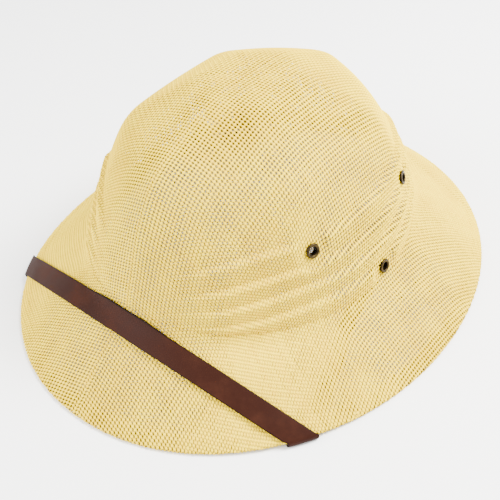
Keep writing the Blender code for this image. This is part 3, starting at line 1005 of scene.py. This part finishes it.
@dataclass(frozen=True)
class LeatherFinish:
    """Smooth brown leather with a fine grain and darker cut edges."""

    name: str
    effects: SharedEffects
    face: Colour = (0.016, 0.0036, 0.0014)
    worn: Colour = (0.024, 0.0062, 0.0026)
    edge: Colour = (0.005, 0.0012, 0.0004)
    roughness: float = 0.56
    roughness_spread: float = 0.10
    specular: float = 0.06
    coat: float = 0.01
    coat_roughness: float = 0.35
    patch_scale: float = 55.0
    patch_low: float = 0.40
    patch_high: float = 0.70
    grain_scale: float = 1500.0
    grain_cells: float = 0.7
    grain_relief: float = 0.5
    grain_depth: float = 0.00006

    def material(self) -> bpy.types.Material:
        """Build the finish.

        Returns:
            The material.
        """
        made, sheet, shader = start_material(self.name, {
            "Coat Weight": self.coat,
            "Coat Roughness": self.coat_roughness,
            "Specular IOR Level": self.specular,
        })
        position = sheet.add("TexCoord").outputs["Object"]
        patch = sheet.effect(self.effects.patches, position, Scale=self.patch_scale,
                             Low=self.patch_low, High=self.patch_high)
        colour = sheet.blend(patch, self.face, self.worn)
        colour = sheet.blend(sheet.attribute("border"), colour, self.edge)
        sheet.link(colour, shader.inputs["Base Color"])
        rough = sheet.maths("MULTIPLY_ADD", patch, self.roughness_spread, self.roughness)
        sheet.link(rough, shader.inputs["Roughness"])
        grain = sheet.effect(self.effects.grain, position, Scale=self.grain_scale,
                             Cells=self.grain_cells)
        sheet.relief(grain, shader, self.grain_relief, self.grain_depth)
        return made


@dataclass(frozen=True)
class BronzeFinish:
    """Dark antique bronze, browner in its hollows and rubbed along the roll."""

    name: str
    effects: SharedEffects
    dark: Colour = (0.010, 0.006, 0.002)
    rubbed: Colour = (0.045, 0.030, 0.010)
    metallic: float = 0.80
    specular: float = 0.10
    roughness: float = 0.34
    roughness_spread: float = 0.16
    patch_scale: float = 420.0
    patch_low: float = 0.30
    patch_high: float = 0.66

    def material(self) -> bpy.types.Material:
        """Build the finish.

        Returns:
            The material.
        """
        values = {"Metallic": self.metallic, "Specular IOR Level": self.specular}
        made, sheet, shader = start_material(self.name, values)
        patch = sheet.effect(self.effects.patches, sheet.add("TexCoord").outputs["Object"],
                             Scale=self.patch_scale, Low=self.patch_low, High=self.patch_high)
        share = sheet.maths("MULTIPLY", patch, sheet.attribute("rub"))
        sheet.link(sheet.blend(share, self.dark, self.rubbed), shader.inputs["Base Color"])
        rough = sheet.maths("MULTIPLY_ADD", patch, self.roughness_spread, self.roughness)
        sheet.link(rough, shader.inputs["Roughness"])
        return made


def make_mesh(name: str, points: np.ndarray, faces: list[np.ndarray],
              material: bpy.types.Material, sharp: float) -> bpy.types.Object:
    """Make an object from arrays.

    Args:
        name: The object's name.
        points: Corners, [corner, 3].
        faces: Arrays of corner numbers, one array for each number of sides.
        material: The object's finish.
        sharp: Angle between faces, in degrees, above which an edge is shaded sharp.

    Returns:
        The object, linked into the scene.
    """
    mesh = bpy.data.meshes.new(name)
    mesh.vertices.add(len(points))
    mesh.vertices.foreach_set("co", points.astype(np.float32).ravel())
    loops = np.concatenate([rows.ravel() for rows in faces])
    sides = np.concatenate([np.full(len(rows), rows.shape[1]) for rows in faces])
    mesh.loops.add(len(loops))
    mesh.loops.foreach_set("vertex_index", loops.astype(np.int32))
    mesh.polygons.add(len(sides))
    mesh.polygons.foreach_set("loop_start", (np.cumsum(sides) - sides).astype(np.int32))
    mesh.update(calc_edges=True)
    mesh.validate()
    mesh.shade_smooth()
    mesh.set_sharp_from_angle(angle=radians(sharp))
    mesh.materials.append(material)
    item = bpy.data.objects.new(name, mesh)
    bpy.context.scene.collection.objects.link(item)
    return item


def ring_quads(rings: int, count: int, closed: bool) -> np.ndarray:
    """Faces between rings of corners that follow each other.

    Args:
        rings: How many rings there are.
        count: Corners in each ring, the last beside the first.
        closed: Whether the last ring joins the first.

    Returns:
        Corner numbers, [face, 4].
    """
    steps = rings if closed else rings - 1
    ring, corner = np.meshgrid(np.arange(steps), np.arange(count), indexing="ij")
    after = (corner + 1) % count
    here, there = ring * count, (ring + 1) % rings * count
    return np.stack((here + corner, there + corner, there + after, here + after), -1).reshape(-1, 4)


def paint(item: bpy.types.Object, name: str, values: np.ndarray) -> None:
    """Paint an object's mesh.

    Args:
        item: The object.
        name: What the finish calls the paint.
        values: A value or a vector for each corner.
    """
    kind, key = ("FLOAT_VECTOR", "vector") if values.ndim == 2 else ("FLOAT", "value")
    attribute = item.data.attributes.new(name, kind, "POINT")
    attribute.data.foreach_set(key, values.astype(np.float32).ravel())


@dataclass(frozen=True)
class YarnStrips:
    """Sections of every yarn of one set, and the paints of their corners.

    All arrays start with yarn and station. The section and the paints go on with the three
    corners: one edge, the top and the other edge.
    """

    section: np.ndarray
    real: np.ndarray
    zone: np.ndarray
    paints: dict[str, np.ndarray]


@dataclass
class WovenShell:
    """The straw shell as real over-and-under yarns: two sets, each on crown and brim.

    unused_start and unused_end stand in for crossings that the net doesn't have. No yarn is
    built there, and they only have to differ.
    """

    cloth: ClothMap
    shift: Vector
    eyelet_centres: list[Vector]
    material: bpy.types.Material
    cover: float = 0.665
    lift: float = 0.00022
    yarn_thickness: float = 0.00050
    hold: float = 0.27
    look_ahead: int = 2
    width_scatter: float = 0.05
    side_scatter: float = 0.02
    drift_span: int = 13
    patch_scatter: float = 0.055
    patch_waves: int = 9
    patch_short: float = 0.012
    patch_long: float = 0.036
    tone_middle: float = 0.35
    tone_scatter: float = 0.22
    tone_drift: float = 0.10
    fibre_stretch: float = 0.08
    fibre_lanes: int = 3
    eyelet_clear: float = 0.0029
    unused_start: float = 0.01
    unused_end: float = 0.02
    sharp: float = 100.0
    seed: int = 7
    patch_seed: int = 3

    def build(self) -> list[bpy.types.Object]:
        """Drape the net and build the yarns of both sets over crown and brim.

        Returns:
            The pieces, one for each set and zone.
        """
        net = YarnNet(self.cloth)
        crossings = net.crossings()
        random = np.random.default_rng(self.seed)
        pieces = []
        for first, yarn_set in enumerate(YarnSet):
            lanes, spacing = crossings, net.spacing_x
            if yarn_set is YarnSet.CROSSWISE:
                lanes, spacing = crossings.transpose(1, 0, 2), net.spacing_y
            strips = self.strips(lanes, spacing, first, random)
            for number, zone in enumerate(Zone):
                name = f"straw_{zone.value}_{yarn_set.value}"
                pieces.append(self.build_piece(name, number, strips))
        return pieces

    def strips(self, lanes: np.ndarray, spacing: float, first: int,
               random: np.random.Generator) -> YarnStrips:
        """Lay out every yarn of one set.

        Args:
            lanes: Crossings, [yarn, crossing, 2].
            spacing: Distance between yarns of this set.
            first: 0 or 1, which of them lies over at the first crossing.
            random: Source of the yarns' small differences.

        Returns:
            The yarns' strips, two stations between each crossing and the next.
        """
        yarns, count = lanes.shape[:2]
        start, end = lanes[:, :-1], lanes[:, 1:]
        real = np.isfinite(start).all(-1) & np.isfinite(end).all(-1)
        start = np.nan_to_num(start, nan=self.unused_start)
        end = np.nan_to_num(end, nan=self.unused_end)
        step = (end - start) * self.hold
        flat = np.stack((start + step, end - step), axis=2).reshape(yarns, -1, 2)
        way = np.repeat(unit(end - start), 2, axis=1)
        over = 1 - 2 * ((np.arange(yarns)[:, None] + np.arange(count)[None, :] + first) % 2)
        over = np.stack((over[:, :-1], over[:, 1:]), axis=2).reshape(yarns, -1)
        width = spacing * self.cover * (1 + self.width_scatter * random.standard_normal((yarns, 1)))
        drift = self.wander(random, over.shape)
        aside = self.wander(random, over.shape) * self.side_scatter * spacing
        tone = self.tone_middle + self.tone_scatter * random.standard_normal((yarns, 1))
        width = width * (1 + self.width_scatter * drift)
        width = width * (1 - self.patch_scatter * self.openness(flat))
        section = self.sections(flat, way, width, aside, over * self.lift)
        real = np.repeat(real, 2, axis=1) & self.is_cloth(flat, section[..., 1, :])
        paints = self.paints(np.clip(tone + self.tone_drift * drift, 0, 1), spacing)
        return YarnStrips(section, real, self.zone_numbers(flat), paints)

    def wander(self, random: np.random.Generator, shape: tuple[int, ...]) -> np.ndarray:
        """Slow random drift along each yarn.

        Args:
            random: Source of the drift.
            shape: How many yarns and stations there are.

        Returns:
            The drift, about one either way.
        """
        rough = random.standard_normal(shape)
        kernel = np.hanning(self.drift_span)
        kernel = kernel / np.sqrt((kernel ** 2).sum())
        return np.apply_along_axis(lambda row: np.convolve(row, kernel, mode="same"), 1, rough)

    def openness(self, flat: np.ndarray) -> np.ndarray:
        """Soft patches in which the weave stands more open.

        Args:
            flat: Flat places, [yarn, station, 2].

        Returns:
            How open the weave is at each, about one either way.
        """
        random = np.random.default_rng(self.patch_seed)
        total = np.zeros(flat.shape[:-1])
        for _ in range(self.patch_waves):
            turn, start = random.uniform(0, 2 * pi, 2)
            length = random.uniform(self.patch_short, self.patch_long)
            along = flat[..., 0] * cos(turn) + flat[..., 1] * sin(turn)
            total += np.sin(along * 2 * pi / length + start)
        return total / np.sqrt(self.patch_waves / 2)

    def sections(self, flat: np.ndarray, way: np.ndarray, width: np.ndarray, aside: np.ndarray,
                 lift: np.ndarray) -> np.ndarray:
        """Stand a section on the cloth at each station.

        Args:
            flat: Flat places, [yarn, station, 2].
            way: Flat directions of the yarns, of the same shape.
            width: The yarn's width at each station.
            aside: How far the yarn strays to one side.
            lift: How far it lies over or under the cloth's middle.

        Returns:
            Corners, [yarn, station, 3, 3].
        """
        point = self.cloth.read(self.cloth.cloth, flat)
        normal = unit(self.cloth.read(self.cloth.normals, flat))
        ahead = self.cloth.read(self.cloth.cloth, flat + way * self.cloth.step * self.look_ahead)
        side = unit(np.cross(normal, ahead - point))
        point = point + side * aside[..., None] + normal * lift[..., None]
        half = side * (width / 2)[..., None]
        rise = normal * (self.yarn_thickness / 2)
        section = np.stack((point + half - rise, point + rise, point - half - rise), axis=2)
        return section + np.array(self.shift)

    def is_cloth(self, flat: np.ndarray, top: np.ndarray) -> np.ndarray:
        """Cut the cloth to its edge and round the eyelets.

        Args:
            flat: Flat places, [yarn, station, 2].
            top: Top corner of each section, [yarn, station, 3].

        Returns:
            Whether each station is cloth.
        """
        reach = np.hypot(flat[..., 0], flat[..., 1])
        real = reach < self.cloth.limit(self.cloth.end_reach, flat)
        for centre in self.eyelet_centres:
            real &= np.linalg.norm(top - np.array(centre), axis=-1) > self.eyelet_clear
        return real

    def zone_numbers(self, flat: np.ndarray) -> np.ndarray:
        """Zone of each station.

        Args:
            flat: Flat places, [yarn, station, 2].

        Returns:
            Numbers in the order of Zone.
        """
        crown, front_brim, back_brim = range(len(Zone))
        reach = np.hypot(flat[..., 0], flat[..., 1])
        brim = np.where(flat[..., 1] < 0, front_brim, back_brim)
        return np.where(reach < self.cloth.limit(self.cloth.foot_reach, flat), crown, brim)

    def paints(self, tone: np.ndarray, spacing: float) -> dict[str, np.ndarray]:
        """Work out what the finish reads from the mesh.

        Args:
            tone: How golden each station is, [yarn, station].
            spacing: Distance between yarns of this set.

        Returns:
            For each corner its tone, whether it is at an edge, its place in the paper's grain,
            and the count of stations; a hole lies half way from an even one to the next.
        """
        yarns, count = tone.shape
        station = np.arange(count)[None, :, None]
        yarn = np.arange(yarns)[:, None, None]
        side = np.array((1.0, 0.0, -1.0))[None, None]
        along = station * spacing / 2 * self.fibre_stretch
        lane = yarn * spacing * self.fibre_lanes
        fibre = np.stack(np.broadcast_arrays(along, side * spacing / 2, lane), axis=-1)
        shape = fibre.shape[:-1]
        return {
            "tone": np.broadcast_to(tone[..., None], shape),
            "edge": np.broadcast_to(np.abs(side), shape),
            "fibre": fibre,
            "weave": np.broadcast_to(station, shape),
        }

    def build_piece(self, name: str, number: int, strips: YarnStrips) -> bpy.types.Object:
        """Skin the yarns of one set over one zone, each a closed strip.

        Args:
            name: The piece's name.
            number: The number of its zone.
            strips: The yarns of the set.

        Returns:
            The piece.
        """
        real, zone = strips.real, strips.zone
        step = real[:, :-1] & real[:, 1:] & (zone[:, :-1] == number)
        none = np.zeros((len(step), 1), bool)
        into, out_of = np.hstack((none, step)), np.hstack((step, none))
        used = into | out_of
        left = (np.cumsum(used.ravel()).reshape(used.shape) - 1) * 3
        top, right = left + 1, left + 2
        faces = []
        for near, far in ((left, top), (top, right), (right, left)):
            corners = (near[:, :-1], far[:, :-1], far[:, 1:], near[:, 1:])
            faces.append(np.stack([corner[step] for corner in corners], 1))
        starts, ends = used & ~into, used & ~out_of
        faces.append(np.stack((left[starts], right[starts], top[starts]), 1))
        faces.append(np.stack((left[ends], top[ends], right[ends]), 1))
        points = strips.section[used].reshape(-1, 3)
        item = make_mesh(name, points, faces, self.material, self.sharp)
        for paint_name, values in strips.paints.items():
            paint(item, paint_name, values[used].reshape(-1, *values.shape[3:]))
        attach(item, BODY)
        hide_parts("helmet_shell")
        return item


class TurnedRow(NamedTuple):
    """One corner of an eyelet's outline, and how far it is rubbed bright."""

    radius: float
    height: float
    rub: float


@dataclass
class Eyelet:
    """A rolled bronze eyelet, turned round its own axis."""

    name: str
    centre: Vector
    normal: Vector
    depth: float
    material: bpy.types.Material
    hole: float = 0.0048
    barrel: float = 0.0060
    flange: float = 0.0086
    roll: float = 0.0011
    roll_foot: float = 0.25
    lip_inset: float = 0.3
    seat: float = 0.0003
    lip_rub: float = 0.2
    bore_rub: float = 0.1
    back_rub: float = 0.3
    sides: int = 48
    roll_steps: int = 12
    sharp: float = 50.0

    def outline(self) -> list[TurnedRow]:
        """Draw the eyelet's closed outline.

        Returns:
            Its corners, from the barrel's back over the roll and down the bore.
        """
        bore, barrel, flange = self.hole / 2, self.barrel / 2, self.flange / 2
        back = -(self.depth + self.seat)
        end = back - self.roll / 2
        rows = [
            TurnedRow(barrel, back, 0.0),
            TurnedRow(barrel, self.seat, 0.0),
            TurnedRow(flange - self.roll * self.lip_inset, self.seat, self.lip_rub),
        ]
        middle, half = (bore + flange) / 2, (flange - bore) / 2
        for step in range(self.roll_steps + 1):
            turn = pi * step / self.roll_steps
            share = self.roll_foot + (1 - self.roll_foot) * sin(turn)
            rows.append(TurnedRow(middle + half * cos(turn), self.seat + self.roll * share, share))
        rows += [
            TurnedRow(bore, self.seat, self.bore_rub),
            TurnedRow(bore, end, 0.0),
            TurnedRow(flange, end, self.back_rub),
            TurnedRow(flange, back, self.back_rub),
        ]
        return rows

    def build(self) -> bpy.types.Object:
        """Turn the outline and stand it on the crown's wall.

        Returns:
            The piece.
        """
        rows = np.array(self.outline())
        turn = np.arange(self.sides) * (2 * pi / self.sides)
        x, y = np.outer(np.cos(turn), rows[:, 0]), np.outer(np.sin(turn), rows[:, 0])
        points = np.stack((x, y, np.broadcast_to(rows[:, 1], x.shape)), -1).reshape(-1, 3)
        upright = self.normal.to_track_quat("Z", "Y").to_matrix().to_4x4()
        stand = np.array(Matrix.Translation(self.centre) @ upright)
        points = points @ stand[:3, :3].T + stand[:3, 3]
        quads = ring_quads(self.sides, len(rows), closed=True)
        item = make_mesh(f"{self.name}_bronze", points, [quads], self.material, self.sharp)
        paint(item, "rub", np.tile(rows[:, 2], self.sides))
        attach(item, BODY)
        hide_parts(self.name)
        return item


class StrapColumn(NamedTuple):
    """One column of the strap's section: place across it, and its two sides' heights."""

    across: float
    inner: float
    outer: float


@dataclass
class ChinStrap:
    """The leather strap: over the front brim, round the rim, and back to the lower eyelets."""

    form: HelmetForm
    shift: Vector
    material: bpy.types.Material
    width: float = 0.0134
    thickness: float = 0.0012
    gap: float = 0.0005
    slack: float = 0.0020
    middle_y: float = 0.1170
    bow: float = 1.75
    tail: float = 0.0090
    under: float = 0.0120
    end_climb: float = 28.0
    end_run: float = 0.0140
    top_steps: int = 40
    wrap_steps: int = 14
    under_steps: int = 5
    free_steps: int = 24
    end_steps: int = 10
    search_from: float = 0.5
    search_to: float = 1.6
    search_rounds: int = 24
    border_from: float = 0.90
    border_full: float = 0.97
    sharp: float = 70.0
    columns: tuple[StrapColumn, ...] = (
        StrapColumn(1.000, 0.38, 0.62),
        StrapColumn(0.985, 0.14, 0.86),
        StrapColumn(0.950, 0.02, 0.98),
        StrapColumn(0.880, 0.00, 0.98),
        StrapColumn(0.500, 0.00, 1.00),
        StrapColumn(0.000, 0.00, 1.00),
        StrapColumn(-0.500, 0.00, 1.00),
        StrapColumn(-0.880, 0.00, 0.98),
        StrapColumn(-0.950, 0.02, 0.98),
        StrapColumn(-0.985, 0.14, 0.86),
        StrapColumn(-1.000, 0.38, 0.62),
    )

    def direction(self, share: float) -> Vector:
        """Plan direction of the strap on the brim, towards the rim."""
        fall = (self.middle_y - self.form.strap_rim_y) / self.form.strap_rim_x
        return Vector((1.0, fall * self.bow * share ** (self.bow - 1))).normalized()

    def height_at(self, x: float, y: float) -> float:
        """Height of the brim's upper side.

        Args:
            x: Plan place across the hat.
            y: Plan place along the hat.

        Returns:
            The height.
        """
        angle = np.asarray(atan2(x, -y))
        foot = self.form.foot_radius(angle)
        share = (hypot(x, y) - foot) / (self.form.rim_radius(angle) - foot)
        return float(self.form.brim_point(angle, share)[1])

    def surface(self, spot: Vector, offset: float) -> Place:
        """Place near the brim's upper side.

        Args:
            spot: Plan place.
            offset: How far the point is moved along the normal.

        Returns:
            The point and the normal.
        """
        x, y, step = spot.x, spot.y, self.form.slope_step
        rise_x = self.height_at(x + step, y) - self.height_at(x - step, y)
        rise_y = self.height_at(x, y + step) - self.height_at(x, y - step)
        normal = Vector((-rise_x, -rise_y, 2 * step)).normalized()
        return Vector((x, y, self.height_at(x, y))) + normal * offset, normal

    def rim_at(self, spot: Vector) -> float:
        """Rim radius in the direction of a plan place."""
        return float(self.form.rim_radius(np.asarray(atan2(spot.x, -spot.y))))

    def hem_share(self, spot: Vector) -> float:
        """1 over the hem, 0 well inside it."""
        width = self.form.hem_width
        return float(smooth_step(-2 * width, -width, spot.length - self.rim_at(spot)))

    def outward(self, spot: Vector) -> Vector:
        """Way out of the hat at its rim.

        Args:
            spot: Plan place in whose direction the rim is taken.

        Returns:
            Plan direction, square to the rim.
        """
        angle = atan2(spot.x, -spot.y)
        step = self.form.slope_step / self.rim_at(spot)
        ends = []
        for turn in (angle - step, angle + step):
            radius = float(self.form.rim_radius(np.asarray(turn)))
            ends.append(Vector((radius * sin(turn), -radius * cos(turn))))
        along = (ends[1] - ends[0]).normalized()
        return Vector((along.y, -along.x))

    def plan(self, share: float, across: float) -> Vector:
        """Plan place on the strap where it lies on the brim.

        Args:
            share: Place along the strap, 0 in front and about 1 at the rim.
            across: Place across it, 1 and -1 at its edges.

        Returns:
            The plan place.
        """
        rise = self.middle_y - self.form.strap_rim_y
        centre = Vector((self.form.strap_rim_x * share, rise * share ** self.bow - self.middle_y))
        way = self.direction(share)
        side = Vector((way.y, -way.x, 0.0))
        normal = self.surface(centre, 0.0)[1]
        side = (side - normal * side.dot(normal)).normalized()
        return centre + side.to_2d() * (across * self.width / 2)

    def crossing(self, across: float) -> float:
        """Find by halving where a column reaches the rim.

        Args:
            across: The column's place across the strap.

        Returns:
            The share along the strap.
        """
        low, high = self.search_from, self.search_to
        for _ in range(self.search_rounds):
            middle = (low + high) / 2
            spot = self.plan(middle, across)
            if spot.length < self.rim_at(spot):
                low = middle
            else:
                high = middle
        return low

    def on_brim(self, across: float) -> Line:
        """Lay a column on top of the brim.

        Args:
            across: The column's place across the strap.

        Returns:
            The column from the front to the rim, where the strap touches.
        """
        limit = self.crossing(across)
        rows = []
        for step in range(self.top_steps):
            spot = self.plan(limit * step / self.top_steps, across)
            rows.append(self.surface(spot, self.gap + self.form.hem_extra * self.hem_share(spot)))
        return rows

    def round_rim(self, across: float) -> Line:
        """Fold a column round the rim.

        Args:
            across: The column's place across the strap.

        Returns:
            The column from the top of the rim to its underside.
        """
        half = self.form.hem_thickness / 2
        edge = self.plan(self.crossing(across), across)
        outward = self.outward(edge)
        centre, normal = self.surface(edge - outward * half, self.form.hem_extra - half)
        away = outward.to_3d()
        away = (away - normal * away.dot(normal)).normalized()
        rows = []
        for step in range(self.wrap_steps + 1):
            turn = pi * step / self.wrap_steps
            way = normal * cos(turn) + away * sin(turn)
            rows.append((centre + way * (half + self.gap), way))
        return rows

    def under_brim(self, across: float) -> Line:
        """Lay a column against the underside of the brim, until the section is square.

        Args:
            across: The column's place across the strap.

        Returns:
            The column from the rim inwards.
        """
        edge = self.plan(self.crossing(across), across)
        middle = self.plan(self.crossing(0.0), 0.0)
        outward = self.outward(middle)
        travel = self.direction(self.crossing(0.0))
        back = travel - outward * (2 * travel.dot(outward))
        run = self.under - (edge - middle).dot(back)
        start = edge - outward * (self.form.hem_thickness / 2)
        rows = []
        for step in range(1, self.under_steps + 1):
            spot = start + back * (run * step / self.under_steps)
            depth = self.form.wall + self.form.hem_extra * self.hem_share(spot) + self.gap
            point, normal = self.surface(spot, -depth)
            rows.append((point, -normal))
        return rows

    def on_wall(self, across: float) -> Line:
        """Lay a column of the end against the inside of the crown.

        Args:
            across: The column's place across the strap.

        Returns:
            The column up to its eyelet and past it.
        """
        eyelet = self.form.eyelets[-1]
        angle, level = radians(eyelet.angle), eyelet.height * self.form.tier_height
        climb, side = radians(self.end_climb), across * self.width / 2
        radius = float(self.form.foot_radius(np.asarray(angle)))
        rows = []
        for step in range(self.end_steps + 1):
            along = -self.end_run + (self.end_run + self.tail) * step / self.end_steps
            turn = angle + (along * cos(climb) - side * sin(climb)) / radius
            rise = level + along * sin(climb) + side * cos(climb)
            centre, normal = self.form.wall_frame(turn, rise)
            rows.append((centre - normal * (self.form.wall + self.gap), -normal))
        return rows

    def free_run(self, under: list[Line], wall: list[Line]) -> list[Line]:
        """Lead the strap smoothly from brim to wall, its width turning as it goes.

        Args:
            under: Sections against the brim.
            wall: Sections against the wall.

        Returns:
            The sections between them.
        """
        start, finish = under[-1], wall[0]
        middle = len(start) // 2
        leave, arrive = start[middle][0], finish[middle][0]
        span = (arrive - leave).length
        way_out = (leave - under[-2][middle][0]).normalized() * span
        way_in = (wall[1][middle][0] - arrive).normalized() * span
        first, last = (row[0][0] - row[-1][0] for row in (start, finish))
        rows = []
        for step in range(1, self.free_steps):
            share = step / self.free_steps
            rest = 1 - share
            centre = leave * ((1 + 2 * share) * rest ** 2) + arrive * ((3 - 2 * share) * share ** 2)
            centre = centre + way_out * (share * rest ** 2) - way_in * (share ** 2 * rest)
            turn = float(smooth_step(0, 1, np.asarray(share)))
            width = first.lerp(last, turn).normalized() * self.width
            normal = start[middle][1].lerp(finish[middle][1], turn)
            normal = (normal - width * (normal.dot(width) / self.width ** 2)).normalized()
            centre = centre + normal * (self.slack * sin(pi * share))
            rows.append([(centre + width * (column.across / 2), normal) for column in self.columns])
        return rows

    def half_rows(self) -> list[Line]:
        """Put half the strap together, from the front middle to the tail inside the crown.

        Returns:
            Its sections, each a line across the strap.
        """
        parts = []
        for part in (self.on_brim, self.round_rim, self.under_brim, self.on_wall):
            lines = [part(column.across) for column in self.columns]
            parts.append([list(row) for row in zip(*lines)])
        top, wrap, under, wall = parts
        return top + wrap[1:] + under + self.free_run(under, wall) + wall

    def build(self) -> bpy.types.Object:
        """Skin both halves as one closed band.

        Returns:
            The piece.
        """
        half = self.half_rows()
        points = np.array([[point for point, _ in row] for row in half])
        normals = np.array([[normal for _, normal in row] for row in half])
        mirror = np.array((-1.0, 1.0, 1.0))
        points = np.concatenate(((points[1:] * mirror)[::-1], points))
        normals = np.concatenate(((normals[1:] * mirror)[::-1], normals))
        sides = [(column.inner, column.outer) for column in self.columns]
        heights = np.array(sides) * self.thickness
        outer = points + normals * heights[None, :, 1:2]
        inner = points + normals * heights[None, :, 0:1]
        rings = np.concatenate((outer, inner[:, ::-1]), axis=1) + np.array(self.shift)
        length, count = rings.shape[:2]
        first = np.arange(count)[None, :]
        last = first[:, ::-1] + (length - 1) * count
        faces = [ring_quads(length, count, closed=False), first, last]
        item = make_mesh("chin_strap_leather", rings.reshape(-1, 3), faces, self.material,
                         self.sharp)
        across = np.array([abs(column.across) for column in self.columns])
        border = np.concatenate((across, across[::-1]))
        border = smooth_step(self.border_from, self.border_full, border)
        paint(item, "border", np.tile(border, length))
        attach(item, BODY)
        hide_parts("chin_strap")
        return item


class Lamp(NamedTuple):
    """A square soft light: where it stands, its power and its size."""

    name: str
    place: tuple[float, float, float]
    power: float
    size: float


@dataclass
class Studio:
    """Pale floor, soft lights and the camera at the photograph's viewing angle."""

    shift: Vector
    aim: tuple[float, float, float] = (0.01748, -0.02584, 0.03545)
    azimuth: float = 41.49
    elevation: float = 42.28
    roll: float = -3.27
    distance: float = 0.5013
    lens: float = 59.32
    sensor: float = 36.0
    clip_start: float = 0.01
    clip_end: float = 20.0
    floor_size: float = 6.0
    floor_colour: Colour = (0.92, 0.92, 0.91)
    floor_roughness: float = 0.9
    world_colour: Colour = (1.0, 1.0, 1.0)
    world_light: float = 1.75
    lamps: tuple[Lamp, ...] = (
        Lamp("key", (0.55, 0.50, 0.95), 70.0, 0.5),
        Lamp("fill", (-0.5, -1.0, 0.7), 40.0, 1.0),
    )

    def camera(self) -> None:
        """Place the camera and make it the scene's."""
        az, el, roll = radians(self.azimuth), radians(self.elevation), radians(self.roll)
        back = Vector((sin(az) * cos(el), -cos(az) * cos(el), sin(el)))
        level = Vector((cos(az), sin(az), 0.0))
        upright = back.cross(level)
        right = level * cos(roll) + upright * sin(roll)
        up = back.cross(right)
        turn = Matrix((right, up, back)).transposed().to_4x4()
        data = bpy.data.cameras.new("camera")
        data.lens, data.sensor_width = self.lens, self.sensor
        data.clip_start, data.clip_end = self.clip_start, self.clip_end
        item = bpy.data.objects.new("camera", data)
        spot = Vector(self.aim) + self.shift + back * self.distance
        item.matrix_world = Matrix.Translation(spot) @ turn
        bpy.context.scene.collection.objects.link(item)
        bpy.context.scene.camera = item

    def light(self, lamp: Lamp) -> None:
        """Set up a lamp so that it faces the hat.

        Args:
            lamp: The lamp.
        """
        data = bpy.data.lights.new(lamp.name, "AREA")
        data.energy, data.size = lamp.power, lamp.size
        item = bpy.data.objects.new(lamp.name, data)
        spot = Vector(lamp.place)
        turn = (Vector(self.aim) - spot).to_track_quat("-Z", "Y").to_matrix().to_4x4()
        item.matrix_world = Matrix.Translation(spot) @ turn
        bpy.context.scene.collection.objects.link(item)

    def floor(self) -> None:
        """Lay a plain pale floor under the hat."""
        half = self.floor_size / 2
        corners = np.array(((-half, -half, 0), (half, -half, 0), (half, half, 0), (-half, half, 0)))
        made, _, _ = start_material("pale floor", {
            "Base Color": (*self.floor_colour, 1.0),
            "Roughness": self.floor_roughness,
        })
        item = make_mesh("floor", corners, [np.arange(4)[None, :]], made, sharp=30)

    def build(self) -> None:
        """Set up camera, floor, world and lamps."""
        self.camera()
        self.floor()
        world = bpy.data.worlds.new("studio")
        world.use_nodes = True
        background = world.node_tree.nodes["Background"]
        background.inputs["Color"].default_value = (*self.world_colour, 1.0)
        background.inputs["Strength"].default_value = self.world_light
        bpy.context.scene.world = world
        for lamp in self.lamps:
            self.light(lamp)


def report(item: bpy.types.Object) -> None:
    """Log a piece's name and how many triangles it has."""
    triangles = sum(len(face.vertices) - 2 for face in item.data.polygons)
    LOG.info("%s: %d triangles", item.name, triangles)


def main() -> None:
    """Build every piece in order."""
    logging.basicConfig(level=logging.INFO, format="%(message)s")
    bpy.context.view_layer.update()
    form = HelmetForm()
    cloth = ClothMap(form)
    low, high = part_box("helmet_shell")
    middle = (form.brim_back - form.brim_front) / 2
    top = cloth.cloth[..., 2].max() + cloth.thickness / 2
    shift = Vector((0.0, (low.y + high.y) / 2 - middle, high.z - top))
    effects = SharedEffects()
    Studio(shift).build()
    bronze = BronzeFinish("dark bronze", effects).material()
    centres = []
    for side, sign in (("left", 1), ("right", -1)):
        for spot in form.eyelets:
            level = spot.height * form.tier_height
            centre, normal = form.wall_frame(sign * radians(spot.angle), level)
            depth = form.wall + (form.strap_lift if spot.holds_strap else 0.0)
            centres.append(centre + shift)
            name = f"eyelet_{side}_{spot.name}"
            report(Eyelet(name, centre + shift, normal, depth, bronze).build())
    report(ChinStrap(form, shift, LeatherFinish("brown leather", effects).material()).build())
    straw = StrawFinish("paper straw", effects).material()
    for item in WovenShell(cloth, shift, centres, straw).build():
        report(item)


if __name__ == "__main__":
    main()
